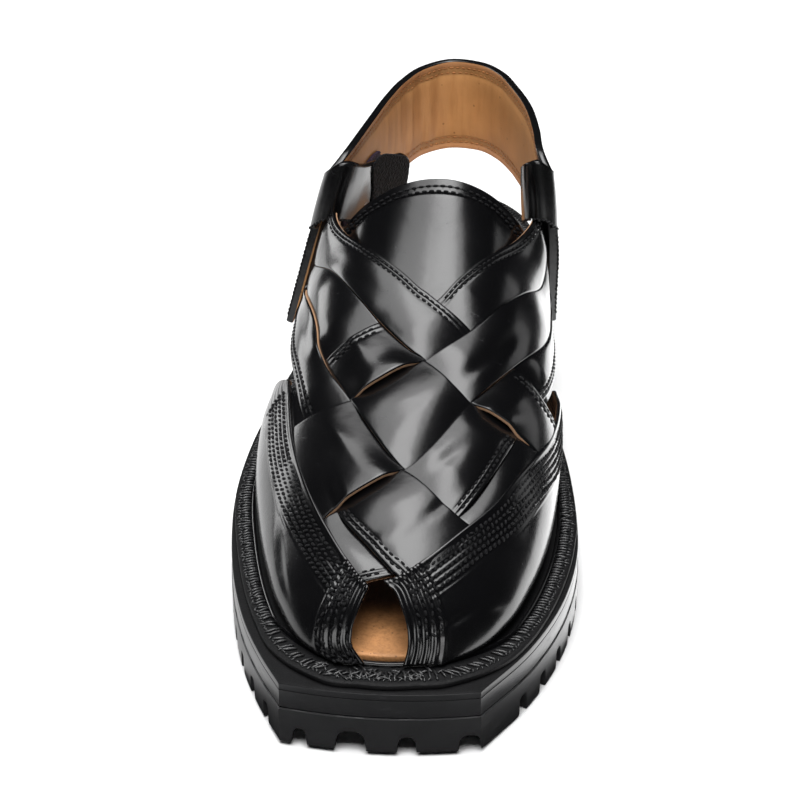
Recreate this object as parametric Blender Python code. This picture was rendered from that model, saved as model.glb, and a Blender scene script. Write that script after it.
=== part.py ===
"""Chappal for the right foot: woven leather upper with a peep toe, instep tongue, lined heel
strap, insole, stitched welt, midsole and lugged outsole.

Frame: toe towards -Y, heel towards +Y, the wearer's inner (medial) side +X, +Z up, the floor at
z = 0 and the origin at the middle of the shoe's footprint. Tables are in millimetres.
"""
import math

import bmesh
import bpy
import numpy as np
from mathutils import Vector
from mathutils.geometry import delaunay_2d_cdt

MM = 0.001

# ---- driving sizes, millimetres -------------------------------------------------------------
GAP = 0.35  # clearance left between neighbouring pieces
MIDSOLE_THICK = 9.8  # side of the midsole
TREAD_DEPTH = 8.0  # depth of the grooves between the lugs
WELT_THICK = 1.6
WELT_RIDGE = 1.1  # height of the ridge on the welt's inner edge
MIDSOLE_INSET = 0.4  # its side stands back from the outsole's
INSOLE_THICK = 3.6
INSOLE_INSET = 3.4
HEEL_CUP = 2.4  # rise of the insole round the heel, over CUP_WIDTH
CUP_WIDTH = 14.0
TOE_DROP = 0.9
UPPER_WALL = 2.0  # lining and shell under the strips
STRIP_RISE = 1.5  # how far a strip stands over the one it crosses
WING_RISE = 0.55  # the wing's step over the strips it covers
TONGUE_THICK = 2.2
STRAP_THICK = 2.6

# Outline of the sole seen from above, lateral toe corner round the heel to the medial corner.
OUTLINE = (
    # x, y
    (-32.5, -146.0), (-40.5, -131.0), (-47.5, -115.0), (-53.0, -97.0), (-57.6, -72.0),
    (-59.5, -48.0), (-58.0, -24.0), (-52.5, 6.0), (-46.0, 34.0), (-41.5, 62.0),
    (-40.5, 90.0), (-38.0, 114.0), (-30.0, 133.5), (-16.5, 145.2), (0.0, 148.9),
    (16.5, 145.2), (29.5, 133.5), (37.0, 114.0), (38.5, 90.0), (37.5, 62.0),
    (41.0, 34.0), (48.5, 2.0), (54.5, -23.0), (58.5, -50.0), (59.5, -67.0),
    (56.5, -92.0), (47.5, -118.0), (32.0, -144.6),
)
TOE_BULGE = 3.6  # how far the cut toe bows out between its corners

# Height of the sole along the foot: floor side of the tread, top of the midsole.
SOLE_ROWS = (
    # y, tread z, top z
    (-148.0, 1.8, 26.0), (-130.0, 0.6, 24.9), (-108.0, 0.0, 24.2), (-70.0, 0.0, 24.0),
    (-30.0, 0.0, 25.2), (10.0, 0.0, 27.2), (60.0, 0.0, 29.6), (149.0, 0.0, 31.5),
)

# Sections of the upper: each runs from a lateral foot over the crest to a medial foot.
UPPER_ROWS = (
    # along, lateral x, y, medial x, y, crest x, y, z, roundness, lateral tuck, medial tuck
    (0.0, -14.5, -135.2, 17.0, -133.4, 1.5, -135.9, 27.7, 2.0, 0.0, 0.0),
    (12.0, -26.0, -127.0, 28.5, -126.0, 1.5, -130.5, 39.0, 2.1, 1.0, 1.0),
    (27.0, -34.8, -112.5, 37.5, -114.0, 2.0, -119.0, 47.5, 2.2, 2.2, 2.2),
    (47.0, -41.3, -95.0, 44.0, -97.0, 2.5, -101.0, 55.5, 2.3, 2.5, 2.5),
    (72.0, -46.8, -73.0, 48.7, -75.0, 3.0, -77.0, 64.0, 2.3, 2.5, 2.5),
    (98.0, -50.5, -50.0, 50.5, -50.0, 3.0, -52.0, 72.0, 2.3, 2.5, 3.0),
    (124.0, -51.0, -25.0, 50.5, -25.0, 2.5, -27.0, 81.0, 2.3, 2.5, 4.0),
    (151.0, -47.6, 0.0, 48.5, 0.0, 2.5, -2.0, 91.5, 2.3, 3.0, 5.5),
    (178.0, -43.2, 24.0, 45.0, 24.0, 3.0, 22.0, 101.5, 2.4, 3.0, 6.5),
    (204.0, -36.0, 46.0, 42.3, 46.0, 3.3, 44.0, 121.0, 3.3, 3.0, 6.5),
    (230.0, -29.5, 68.0, 36.5, 68.0, 3.3, 66.0, 134.0, 3.6, 3.0, 6.5),
)
TUCK_SPAN = 50.0  # half-width at which the wall turns in by its tuck below its widest level

# Edges of the woven strips on the upper, lateral to medial. A-edges bound the three strips that
# start at the lateral ear, B-edges those of the medial ear.
A_EDGES = (
    # (around, along) pairs
    ((-76.0, 200.0), (-65.0, 190.0), (-43.0, 178.5), (-23.0, 161.0), (-7.0, 148.0), (4.0, 137.5),
     (20.0, 128.0), (43.0, 121.0), (62.0, 118.0), (84.0, 119.0)),
    ((-66.0, 181.0), (-43.0, 160.0), (-25.0, 141.0), (-14.0, 129.0), (2.0, 113.5), (22.0, 99.0),
     (47.0, 94.0), (74.0, 93.0)),
    ((-72.0, 176.0), (-58.0, 157.0), (-45.0, 138.0), (-37.0, 118.0), (-23.0, 98.0), (-1.0, 69.0),
     (24.0, 52.0), (40.0, 47.0)),
    ((-88.0, 199.0), (-81.0, 182.0), (-72.0, 160.0), (-65.0, 142.0), (-54.0, 120.0), (-45.0, 95.0),
     (-35.0, 70.0), (-27.0, 51.0), (-12.0, 38.0), (0.0, 29.0), (8.0, 23.0)),
)
B_EDGES = (
    ((-76.0, 116.0), (-52.0, 116.0), (-37.0, 118.0), (-14.0, 129.0), (4.0, 137.5), (13.0, 148.0),
     (28.0, 163.0), (49.0, 181.5), (66.0, 191.0), (76.0, 200.0)),
    ((-70.0, 92.0), (-45.0, 94.0), (-23.0, 98.0), (2.0, 113.5), (20.0, 128.0), (32.0, 141.0),
     (45.0, 154.0), (64.0, 175.0), (72.0, 190.0)),
    ((-60.0, 42.0), (-42.0, 46.0), (-27.0, 53.0), (-1.0, 69.0), (22.0, 99.0), (43.0, 122.0),
     (64.0, 146.0), (76.0, 168.0)),
    ((-14.0, 25.0), (0.0, 29.5), (24.0, 52.0), (47.0, 92.0), (62.0, 116.0), (74.0, 140.0),
     (79.0, 160.0), (83.0, 180.0), (88.0, 199.0)),
)
# Each run of a strip is named 10 i + j by the A-edges and B-edges above it.
# Edges under which each run of a strip dives: (letter of the edges, indices).
RUNS = {
    10: ("b", (1,)), 11: ("b", (1,)), 13: ("b", (2,)), 14: ("b", (2,)),
    20: ("b", (0,)), 22: ("b", (1, 2)),
    30: ("b", (1,)), 31: ("b", (1,)), 33: ("b", (2,)), 34: ("b", (2,)),
    1: ("a", (0,)), 21: ("a", (1, 2)),
    2: ("a", (1,)), 12: ("a", (1,)), 32: ("a", (2,)), 42: ("a", (2,)),
    3: ("a", (0,)), 23: ("a", (1, 2)),
}
# Upper edge of each wing: lateral from its rear foot to the peep toe, medial the other way.
WING_LATERAL = ((-100.0, 135.0), (-84.0, 132.0), (-67.0, 127.0), (-56.0, 98.0), (-51.0, 80.0),
                (-45.0, 60.0), (-36.0, 42.0), (-28.0, 33.0), (-19.0, 27.0), (-12.0, 23.5))
WING_MEDIAL = ((-3.0, 26.0), (6.0, 31.0), (21.0, 41.0), (37.0, 54.0), (53.0, 78.0),
               (66.0, 99.0), (77.0, 122.0), (84.0, 144.0), (90.0, 149.0), (100.0, 152.0))
PEEP = ((-4.0, 26.0), (-12.0, 23.5), (-20.0, 16.0), (-29.0, 10.0), (-36.0, 4.5), (-34.0, 0.0),
        (20.0, 0.0), (20.0, 2.5), (15.0, 8.0), (8.5, 13.0), (3.0, 20.0))
EAR_LATERAL = ((-76.0, 200.0), (-54.0, 202.5), (-57.0, 208.5), (-66.0, 210.0), (-78.0, 208.0),
               (-88.0, 199.0))
EAR_MEDIAL = ((76.0, 200.0), (66.0, 202.5), (67.0, 208.0), (73.0, 210.0), (80.0, 207.5),
              (88.0, 199.0))
REAR_LATERAL = 127.0  # where the open side behind the lateral wing starts
REAR_MEDIAL = 144.0
OPEN_AROUND = 88.0  # the side below this is open behind OPEN_ALONG
OPEN_ALONG = 155.0
EARS_ALONG = 199.0  # behind this only the ears are left
STRIP_LOW = 0.4  # strip where it dips under another
STRIP_RAMP = 11.0  # length over which it climbs again
WING_FADE = 10.0  # height over the foot in which a wing thins into the welt
ROUND_MM = 0.85  # length of one unit of "around" at the ball

# Heel: foot of the upper's line continued round the heel, x and y.
HEEL_LINE = (
    (-40.0, 32.0), (-35.0, 60.0), (-33.5, 88.0), (-31.0, 111.0), (-24.0, 129.0),
    (-12.5, 138.8), (0.0, 141.5), (12.5, 138.8), (23.5, 129.0), (30.0, 111.0),
    (31.5, 88.0), (31.0, 60.0), (35.4, 32.0),
)
WELT_WIDTH = 9.5
WELT_EDGE = 2.0  # black margin of the midsole left outside the welt

# Sections of the tongue along the foot.
TONGUE_ROWS = (
    # y, lateral half-width, medial half-width, crest x, crest z, roundness
    (-34.0, 47.0, 44.5, 2.6, 75.0, 2.25), (-15.0, 46.5, 43.5, 2.6, 82.2, 2.25),
    (0.0, 45.2, 42.6, 2.8, 88.0, 2.25), (15.0, 44.0, 41.2, 3.0, 95.2, 2.2),
    (25.0, 43.6, 40.4, 3.2, 102.6, 2.15), (34.0, 44.2, 41.2, 3.4, 109.5, 2.1),
)
TONGUE_EDGE = (
    # around, y: the broad rounded free edge and the hidden front edge
    (-60.0, 22.0), (-57.0, 27.5), (-48.0, 30.5), (-30.0, 31.5), (0.0, 32.0), (30.0, 31.5),
    (48.0, 30.5), (57.0, 27.5), (60.0, 22.0), (58.0, -6.0), (42.0, -26.0), (20.0, -31.0),
    (-20.0, -31.0), (-42.0, -26.0), (-58.0, -6.0),
)
TONGUE_ROUND_MM = 0.75  # length of one unit of "around" on the tongue

# Heel strap, along its upper edge from the lateral tab's end round the heel to the medial tab's
# end: middle of the strap's thickness.
STRAP_ROWS = (
    # x, y, top z, then how the face leans in x and y per mm down
    (-9.8, 69.5, 96.0, -0.14, 0.0), (-15.6, 59.0, 99.7, -0.18, -0.03),
    (-20.8, 49.5, 102.5, -0.22, -0.07), (-24.0, 42.8, 105.5, -0.24, -0.11),
    (-26.8, 38.8, 108.5, -0.25, -0.14), (-31.0, 37.2, 109.0, -0.25, -0.14),
    (-35.4, 39.8, 103.5, -0.25, -0.14), (-35.6, 44.5, 100.5, -0.25, -0.14),
    (-30.6, 54.5, 103.4, -0.22, -0.14), (-26.8, 69.5, 103.4, -0.13, -0.08),
    (-23.9, 84.0, 102.2, -0.06, -0.03), (-20.4, 101.0, 100.7, -0.02, -0.01),
    (-15.8, 116.5, 99.6, 0.0, -0.02), (-9.3, 128.5, 99.0, 0.0, -0.04),
    (0.5, 134.7, 99.2, 0.0, -0.06), (12.0, 130.8, 100.6, 0.0, -0.04),
    (20.6, 119.5, 103.0, 0.0, -0.02), (26.6, 105.5, 104.8, 0.02, -0.01),
    (32.2, 89.5, 106.3, 0.04, -0.03), (36.2, 70.0, 107.4, 0.07, -0.06),
    (38.5, 55.0, 107.0, 0.10, -0.12), (42.2, 45.5, 104.5, 0.10, -0.16),
    (42.5, 41.0, 107.5, 0.10, -0.16), (38.4, 37.8, 113.2, 0.08, -0.15),
    (35.0, 39.2, 111.5, 0.06, -0.13), (33.6, 43.5, 107.5, 0.05, -0.11),
    (33.0, 51.0, 103.5, 0.05, -0.07),
)
TAB_DROP = 21.5  # height of the narrow tabs folded round the ears
# Height of the strap, by row of STRAP_ROWS.
STRAP_DROP = (
    (7.0, 59.0), (8.0, 53.0), (9.0, 43.5), (10.0, 39.0), (11.0, 37.0), (14.0, 37.0),
    (17.0, 37.0), (18.0, 38.5), (19.0, 43.0), (20.0, 51.0), (21.0, 57.0),
)
FRONT_LATERAL = 7.0  # rows where the full height of the strap ends
FRONT_MEDIAL = 21.0
FOLD_ROWS = ((2, 8), (20, 26))  # rows between which the strap turns round an ear
FOLD_STEPS = 15
FOLD_DEEP = 50.0  # how far down the turned columns reach on the strap's full height
TAB_CORNER = 4.0
PAD_RUN = (66.0, 93.0)  # fastening pad on the lining of the lateral side
PAD_DOWN = (14.0, 33.0)
PAD_THICK = 1.4

# Grooves of the tread.
TOE_NOTCHES = (
    # x, half-width, length
    (-26.0, 2.0, 7.0), (-9.4, 4.5, 9.0), (8.6, 2.6, 8.0), (28.7, 3.4, 7.0),
)
SIDE_PITCH = 13.4  # from one side notch to the next
LATERAL_CORNER_LUG = 12.0  # lengths of the first side lugs behind the toe's corners
MEDIAL_CORNER_LUG = 24.0
NOTCH_HALF = 2.3
NOTCH_LENGTH = 13.0
ARCH = (20.0, 50.0)  # the waist between forepart and heel lugs
ARCH_RISE = 6.5
CHEVRONS = (-110.0, -86.0, -62.0, -38.0, -14.0, 72.0, 96.0)  # y of the V grooves
CHEVRON_HALF = 22.0  # half-width at the ball
CHEVRON_HALF_HEEL = 11.5


def smooth(x, table, column):
    """Value of a table column at x: cubic through the rows, slopes from the neighbours."""
    xs = np.array([row[0] for row in table], float)
    ys = np.array([row[column] for row in table], float)
    step = np.diff(xs)
    rise = np.diff(ys) / step
    slope = np.empty_like(xs)
    slope[0] = rise[0]
    slope[-1] = rise[-1]
    slope[1:-1] = (rise[:-1] * step[1:] + rise[1:] * step[:-1]) / (step[:-1] + step[1:])
    x = np.clip(np.asarray(x, float), xs[0], xs[-1])
    k = np.clip(np.searchsorted(xs, x, side="right") - 1, 0, len(step) - 1)
    h = step[k]
    u = (x - xs[k]) / h
    a = ys[k] * (1 + 2 * u) * (1 - u) ** 2 + h * slope[k] * u * (1 - u) ** 2
    b = ys[k + 1] * u * u * (3 - 2 * u) + h * slope[k + 1] * u * u * (u - 1)
    return a + b


def sole_top(y):
    """Height of the midsole's top face at y."""
    return smooth(y, SOLE_ROWS, 2)


def upper_point(along, around, lift=0.0):
    """Points of the upper's outer face: around is -100 at the lateral foot, 0 at the crest and
    100 at the medial foot; lift moves them out along the face's normal."""
    along = np.asarray(along, float)
    around = np.asarray(around, float)
    base = upper_face(along, around)
    if np.any(lift):
        e = 0.4
        s, t = np.maximum(along, 3.0), np.clip(around, -97.0, 97.0)
        da = upper_face(s + e, t) - upper_face(s - e, t)
        dr = upper_face(s, t + e) - upper_face(s, t - e)
        normal = np.cross(dr, da)
        normal /= np.linalg.norm(normal, axis=-1, keepdims=True)
        base = base + normal * np.asarray(lift, float)[..., None]
    return base


def upper_face(along, around):
    """The unlifted face: a superellipse rib between the feet and the crest of each section."""
    lx, ly, mx, my, cx, cy, cz, n, lt, mt = (smooth(along, UPPER_ROWS, c) for c in range(1, 11))
    t = np.clip(around / 100.0, -1.0, 1.0)
    fx = np.where(t < 0, lx, mx)
    fy = np.where(t < 0, ly, my)
    fz = sole_top(fy) + WELT_THICK + 2 * GAP
    angle = np.abs(t) * math.pi / 2
    out = np.sin(angle) ** (2 / n)
    up = np.maximum(np.cos(angle), 0.0) ** (2 / n)
    tuck = 1 - np.where(t < 0, lt, mt) / TUCK_SPAN * np.abs(t) ** 10
    x = cx + (fx - cx) * out * tuck
    y = cy + (fy - cy) * out
    z = fz + (cz - fz) * up
    return np.stack([x, y, z], -1)


def rail(pairs, spacing):
    """A table of (around, along) pairs as an evenly filled polyline, in that order."""
    pts = np.array(pairs, float)
    scale = np.array([ROUND_MM, 1.0])
    dist = np.r_[0.0, np.cumsum(np.linalg.norm(np.diff(pts, axis=0) * scale, axis=1))]
    rows = [(d, p[0], p[1]) for d, p in zip(dist, pts)]
    count = max(2, int(round(dist[-1] / spacing)) + 1)
    at = np.linspace(0.0, dist[-1], count)
    return np.stack([smooth(at, rows, 1), smooth(at, rows, 2)], 1)


def chain(points, spacing, closed=False):
    """Straight polyline through points with extra points no further apart than spacing."""
    pts = [np.array(p, float) for p in points]
    if closed:
        pts.append(pts[0])
    out = [pts[0]]
    for a, b in zip(pts[:-1], pts[1:]):
        n = max(1, int(math.ceil(np.linalg.norm(b - a) / spacing)))
        out.extend(a + (b - a) * k / n for k in range(1, n + 1))
    return np.array(out)


def distance(points, line):
    """Distance of each point to a polyline."""
    a, b = line[:-1], line[1:]
    d = b - a
    rel = points[:, None, :] - a[None]
    u = np.clip((rel * d).sum(-1) / (d * d).sum(-1), 0.0, 1.0)
    return np.linalg.norm(rel - u[..., None] * d, axis=-1).min(1)


def inside(points, polygon):
    """Which points lie in a closed polygon."""
    a = np.asarray(polygon, float)
    b = np.roll(a, -1, axis=0)
    x, y = points[:, :1], points[:, 1:2]
    cross = (a[:, 1] > y) != (b[:, 1] > y)
    run = np.where(b[:, 1] == a[:, 1], 1e-12, b[:, 1] - a[:, 1])
    hit = x < (b[:, 0] - a[:, 0]) * (y - a[:, 1]) / run + a[:, 0]
    return (cross & hit).sum(1) % 2 == 1


def stepped_solid(name, lines, grid, region_of, height_of, place, floor):
    """A sheet solid over a flat chart. Lines are constraint polylines, grid is the spacing of
    the points between them, region_of gives each chart point's region (negative: outside),
    height_of the region's height there and place the space point. Neighbouring regions of
    different heights are joined by walls; floor is the height of the sheet's other face."""
    verts, edges = [], []
    for line in lines:
        start = len(verts)
        verts.extend(Vector((float(p[0]), float(p[1]))) for p in line)
        edges.extend((start + k, start + k + 1) for k in range(len(line) - 1))
    flat = np.vstack(lines)
    low, high = flat.min(0), flat.max(0)
    nx, ny = (np.maximum(1, np.ceil((high - low) / grid))).astype(int)
    gx, gy = np.meshgrid((np.arange(nx) + 0.5) / nx, (np.arange(ny) + 0.5) / ny, indexing="ij")
    gx = gx + (np.arange(ny) % 2)[None, :] * 0.5 / nx
    pts = np.stack([gx.ravel(), gy.ravel()], 1) * (high - low) + low
    keep = region_of(pts) >= 0
    for line in lines:
        keep &= distance(pts, np.asarray(line, float)) > grid * 0.45
    verts.extend(Vector((float(p[0]), float(p[1]))) for p in pts[keep])
    out = delaunay_2d_cdt(verts, edges, [], 0, 1e-4)
    chart = np.array([(v.x, v.y) for v in out[0]])
    tris = np.array([f for f in out[2]], int)
    region = region_of(chart[tris].mean(1))
    tris, region = tris[region >= 0], region[region >= 0]
    area = np.cross(chart[tris[:, 1]] - chart[tris[:, 0]], chart[tris[:, 2]] - chart[tris[:, 0]])
    tris = np.where((area < 0)[:, None], tris[:, ::-1], tris)
    levels = [{} for _ in chart]
    heights = {}
    for r in sorted(set(region.tolist())):
        ids = np.unique(tris[region == r])
        for i, h in zip(ids.tolist(), height_of(r, chart[ids]).tolist()):
            near = [key for key in levels[i].values() if abs(key - h) < 0.03]
            h = near[0] if near else h
            levels[i][r] = h
            heights.setdefault(i, set()).add(h)
    coords, lifts, index = [], [], {}
    for i in sorted(heights):
        for h in [floor] + sorted(heights[i]):
            index[(i, h)] = len(coords)
            coords.append(chart[i])
            lifts.append(h)
    space = place(np.array(coords), np.array(lifts))
    faces = []
    sides = {}
    for (a, b, c), r in zip(tris.tolist(), region.tolist()):
        faces.append([index[(i, levels[i][r])] for i in (a, b, c)])
        faces.append([index[(i, floor)] for i in (c, b, a)])
        for p, q in ((a, b), (b, c), (c, a)):
            sides.setdefault((min(p, q), max(p, q)), []).append((r, p, q))
    for (p, q), users in sorted(sides.items()):
        r0, p, q = users[0]
        top = {i: levels[i][r0] for i in (p, q)}
        base = {i: floor if len(users) == 1 else levels[i][users[1][0]] for i in (p, q)}
        if all(top[i] == base[i] for i in (p, q)):
            continue
        if any(top[i] < base[i] for i in (p, q)):
            p, q = q, p
            top, base = base, top
        stacks = []
        for i in (p, q):
            steps = [h for h in [floor] + sorted(heights[i]) if base[i] <= h <= top[i]]
            stacks.append([index[(i, h)] for h in steps])
        left, right = stacks
        m, n = 0, 0
        while m < len(left) - 1 or n < len(right) - 1:
            fm = (m + 1) / len(left) if m < len(left) - 1 else 2.0
            fn = (n + 1) / len(right) if n < len(right) - 1 else 2.0
            if fm <= fn:
                faces.append([left[m], right[n], left[m + 1]][::-1])
                m += 1
            else:
                faces.append([left[m], right[n], right[n + 1]][::-1])
                n += 1
    return solid(name, space, faces)


def solid(name, space, faces):
    """A mesh object from points in millimetres, its faces turned outwards."""
    mesh = bpy.data.meshes.new(name)
    mesh.from_pydata([tuple(p) for p in (np.asarray(space) * MM).tolist()], [], faces)
    bm = bmesh.new()
    bm.from_mesh(mesh)
    bmesh.ops.recalc_face_normals(bm, faces=bm.faces)
    bm.to_mesh(mesh)
    bm.free()
    mesh.update()
    obj = bpy.data.objects.new(name, mesh)
    bpy.context.scene.collection.objects.link(obj)
    return obj


def through(points, per, closed):
    """Smooth curve through plan points with `per` steps between neighbours."""
    pts = np.array(points, float)
    if closed:
        pts = np.vstack([pts[-3:], pts, pts[:3]])
    dist = np.r_[0.0, np.cumsum(np.linalg.norm(np.diff(pts, axis=0), axis=1))]
    rows = [(d, p[0], p[1]) for d, p in zip(dist, pts)]
    first, last = (3, len(pts) - 3) if closed else (0, len(pts) - 1)
    at = [dist[first]]
    for k in range(first, last):
        at.extend(dist[k] + (dist[k + 1] - dist[k]) * (j + 1) / per for j in range(per))
    if closed:
        at.pop()
    return np.stack([smooth(at, rows, 1), smooth(at, rows, 2)], 1)


def outward(poly):
    """Outward unit normals of a closed plan polygon, lengthened at its corners."""
    nxt = np.roll(poly, -1, axis=0) - poly
    nxt /= np.linalg.norm(nxt, axis=1, keepdims=True)
    prv = np.roll(nxt, 1, axis=0)
    side = np.stack([prv[:, 1] + nxt[:, 1], -(prv[:, 0] + nxt[:, 0])], 1)
    side /= np.maximum((side * side).sum(1, keepdims=True) / 2.0, 1.0)
    area = (poly[:, 0] * np.roll(poly[:, 1], -1) - poly[:, 1] * np.roll(poly[:, 0], -1)).sum()
    return side * math.copysign(1.0, area)


def sole_outline(inset=0.0):
    """Plan outline of the sole moved in by inset, its cut toe bowed between two corners."""
    sides = through(OUTLINE, 3, False)
    corner, start = np.array(OUTLINE[-1]), np.array(OUTLINE[0])
    u = np.linspace(0.0, 1.0, 9)[1:-1, None]
    toe = corner + (start - corner) * u + np.array([0.0, -TOE_BULGE]) * 4 * u * (1 - u)
    poly = np.vstack([sides, toe])
    return poly - outward(poly) * inset


def foot_line():
    """Plan line where the upper stands, closed round the heel."""
    steps = np.array([3.0, 8.0, 16.0, 27.0, 40.0, 55.0, 72.0, 90.0, 110.0, 130.0, 150.0])
    lateral = upper_face(steps[::-1], np.full(11, -100.0))[:, :2]
    toe = upper_face(np.zeros(5), np.array([-80.0, -40.0, 0.0, 40.0, 80.0]))[:, :2]
    medial = upper_face(steps, np.full(11, 100.0))[:, :2]
    pts = np.vstack([lateral, toe, medial, np.array(HEEL_LINE[::-1])])
    return through(pts, 2, True)


def offset_line(offset):
    """The foot line moved out by offset, one value or one per point."""
    line = foot_line()
    return line + outward(line) * np.reshape(offset, (-1, 1))


def flat_region(poly):
    return lambda pts: np.where(inside(pts, poly), 0, -1)


def even(value):
    return lambda region, pts: np.full(len(pts), float(value))


def place_over(base):
    """Chart x, y and a height over a plan surface."""
    return lambda pts, h: np.column_stack([pts, base(pts[:, 1]) + h])


def outsole_top(y):
    return sole_top(y) - MIDSOLE_THICK - GAP


def tread(y):
    return np.maximum(smooth(y, SOLE_ROWS, 1), 0.0)


def box(x, y, half_x, half_y, turn=0.0):
    """Corners of a turned rectangle in plan."""
    c, s = math.cos(turn), math.sin(turn)
    pts = ((-half_x, -half_y), (half_x, -half_y), (half_x, half_y), (-half_x, half_y))
    return [(x + c * a - s * b, y + s * a + c * b) for a, b in pts]


def grooves():
    """Plan polygons of the grooves between the lugs."""
    out = []
    for x, half, length in TOE_NOTCHES:
        out.append(box(x, -147.0, half, length + 3.0))
    edge = sole_outline()
    normal = outward(edge)
    normal /= np.linalg.norm(normal, axis=1, keepdims=True)
    count = len(OUTLINE) * 3 - 2
    dist = np.r_[0.0, np.cumsum(np.linalg.norm(np.diff(edge[:count], axis=0), axis=1))]
    span = dist[-1] - LATERAL_CORNER_LUG - MEDIAL_CORNER_LUG
    for d in LATERAL_CORNER_LUG + np.linspace(0.0, span, int(round(span / SIDE_PITCH)) + 1):
        p = np.array([np.interp(d, dist, edge[:count, k]) for k in (0, 1)])
        n = np.array([np.interp(d, dist, normal[:count, k]) for k in (0, 1)])
        if ARCH[0] - 4 < p[1] < ARCH[1] + 4:
            continue
        mid = p - n * (NOTCH_LENGTH / 2 - 2.0)
        out.append(box(mid[0], mid[1], NOTCH_LENGTH / 2 + 2.0, NOTCH_HALF,
                       math.atan2(n[1], n[0])))
    for y in CHEVRONS:
        half = CHEVRON_HALF_HEEL if y > 0 else CHEVRON_HALF
        out.append([(-half - 2, y + 5), (-half - 2, y + 9), (0.0, y - 3), (half + 2, y + 9),
                    (half + 2, y + 5), (0.0, y - 7)])
    return out


def waist():
    """Plan polygon of the smooth waist."""
    return [(-80.0, ARCH[0]), (80.0, ARCH[0]), (80.0, ARCH[1]), (-80.0, ARCH[1])]


def make_outsole():
    edge = sole_outline()
    cuts = [chain(g, 9.0, True) for g in grooves()]
    arch = waist()
    lines = [chain(edge, 12.0, True)] + cuts
    lines += [chain(arch[:2], 14.0), chain(arch[2:], 14.0)]

    def region_of(pts):
        where = np.where(inside(pts, edge), 0, -1)
        for cut in cuts:
            where = np.where((where == 0) & inside(pts, cut), 1, where)
        return np.where((where >= 0) & inside(pts, arch), 2, where)

    def height_of(region, pts):
        full = outsole_top(pts[:, 1]) - tread(pts[:, 1])
        return full - (0.0, TREAD_DEPTH, ARCH_RISE)[region]

    def place(pts, h):
        return np.column_stack([pts, outsole_top(pts[:, 1]) - h])

    return stepped_solid("outsole", lines, 20.0, region_of, height_of, place, 0.0)


def make_midsole():
    edge = sole_outline(MIDSOLE_INSET)
    base = place_over(lambda y: sole_top(y) - MIDSOLE_THICK)
    return stepped_solid("midsole", [chain(edge, 12.0, True)], 18.0, flat_region(edge),
                         even(MIDSOLE_THICK), base, 0.0)


def make_insole():
    edge = offset_line(-INSOLE_INSET)
    base = place_over(lambda y: sole_top(y) + GAP)

    def height_of(region, pts):
        near = distance(pts, np.vstack([edge, edge[:1]]))
        cup = HEEL_CUP * np.clip((pts[:, 1] - 30.0) / 60.0, 0.0, 1.0)
        cup = cup * np.clip(1 - near / CUP_WIDTH, 0.0, 1.0) ** 2
        toe = TOE_DROP * np.clip((-118.0 - pts[:, 1]) / 12.0, 0.0, 1.0)
        return INSOLE_THICK + cup - toe

    return stepped_solid("insole", [chain(edge, 12.0, True)], 11.0, flat_region(edge),
                         height_of, base, 0.0)


def make_welt():
    """Ring round the foot line: flat strip, then a ridge, then a lower inner margin."""
    line = foot_line()
    normal = outward(line)
    sole = sole_outline()
    closed = np.vstack([sole, sole[:1]])
    width = np.minimum(WELT_WIDTH, distance(line, closed) - WELT_EDGE)
    top = WELT_THICK
    profile = [(-0.2, 0.0), (-0.2, top), (0.42, top), (0.45, top + WELT_RIDGE),
               (0.56, top + WELT_RIDGE), (0.60, top), (1.0, top), (1.0, 0.0)]
    rows = []
    for share, z in profile:
        plan = line + normal * (width * share)[:, None]
        rows.append(np.column_stack([plan, sole_top(plan[:, 1]) + GAP + z]))
    space = np.vstack(rows)
    n, k = len(line), len(profile)
    faces = []
    for j in range(k):
        for i in range(n):
            a, b = j * n + i, j * n + (i + 1) % n
            c, d = ((j + 1) % k) * n + (i + 1) % n, ((j + 1) % k) * n + i
            faces.append((a, b, c, d))
    return solid("welt", space, faces)


def upper_regions(a_lines, b_lines, peep, wing_l, wing_r, ear_l, ear_r):
    """Region of each chart point (around in mm, along): 10 i + j between the A- and B-edges,
    100 and 101 for the wings, -1 outside."""
    def region_of(pts):
        x, y = pts[:, 0], pts[:, 1]
        i = sum((y < np.interp(x, line[:, 0], line[:, 1])).astype(int) for line in a_lines)
        j = sum((y < np.interp(x, line[:, 0], line[:, 1])).astype(int) for line in b_lines)
        run = 10 * i + j
        fan_a = (i >= 1) & (i <= 3)
        fan_b = (j >= 1) & (j <= 3)
        where = np.where(fan_a | fan_b, run, -1)
        low_l = (i == 4) & (j >= 1) & (y < REAR_LATERAL) & (x < 20)
        low_r = (j == 4) & (y < REAR_MEDIAL) & (x > -10)
        where = np.where(low_l | low_r, run, where)
        back = y > 170
        where = np.where(back & inside(pts, ear_l), 50, where)
        where = np.where(back & inside(pts, ear_r), 51, where)
        behind = (y > EARS_ALONG) & ~inside(pts, ear_l) & ~inside(pts, ear_r)
        where = np.where(behind, -1, where)
        left = (x < 0) & (y < np.interp(x, wing_l[:, 0], wing_l[:, 1]))
        left &= x < wing_l[:, 0].max()
        right = (y < np.interp(x, wing_r[:, 0], wing_r[:, 1])) & (x > wing_r[:, 0].min())
        where = np.where(left, 100, where)
        where = np.where(right, 101, where)
        where = np.where(inside(pts, peep), -1, where)
        open_side = (np.abs(x) > OPEN_AROUND * ROUND_MM) & (y > OPEN_ALONG) & (where < 50)
        return np.where((y < 0) | (np.abs(x) > 100 * ROUND_MM) | open_side, -1, where)
    return region_of


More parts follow.
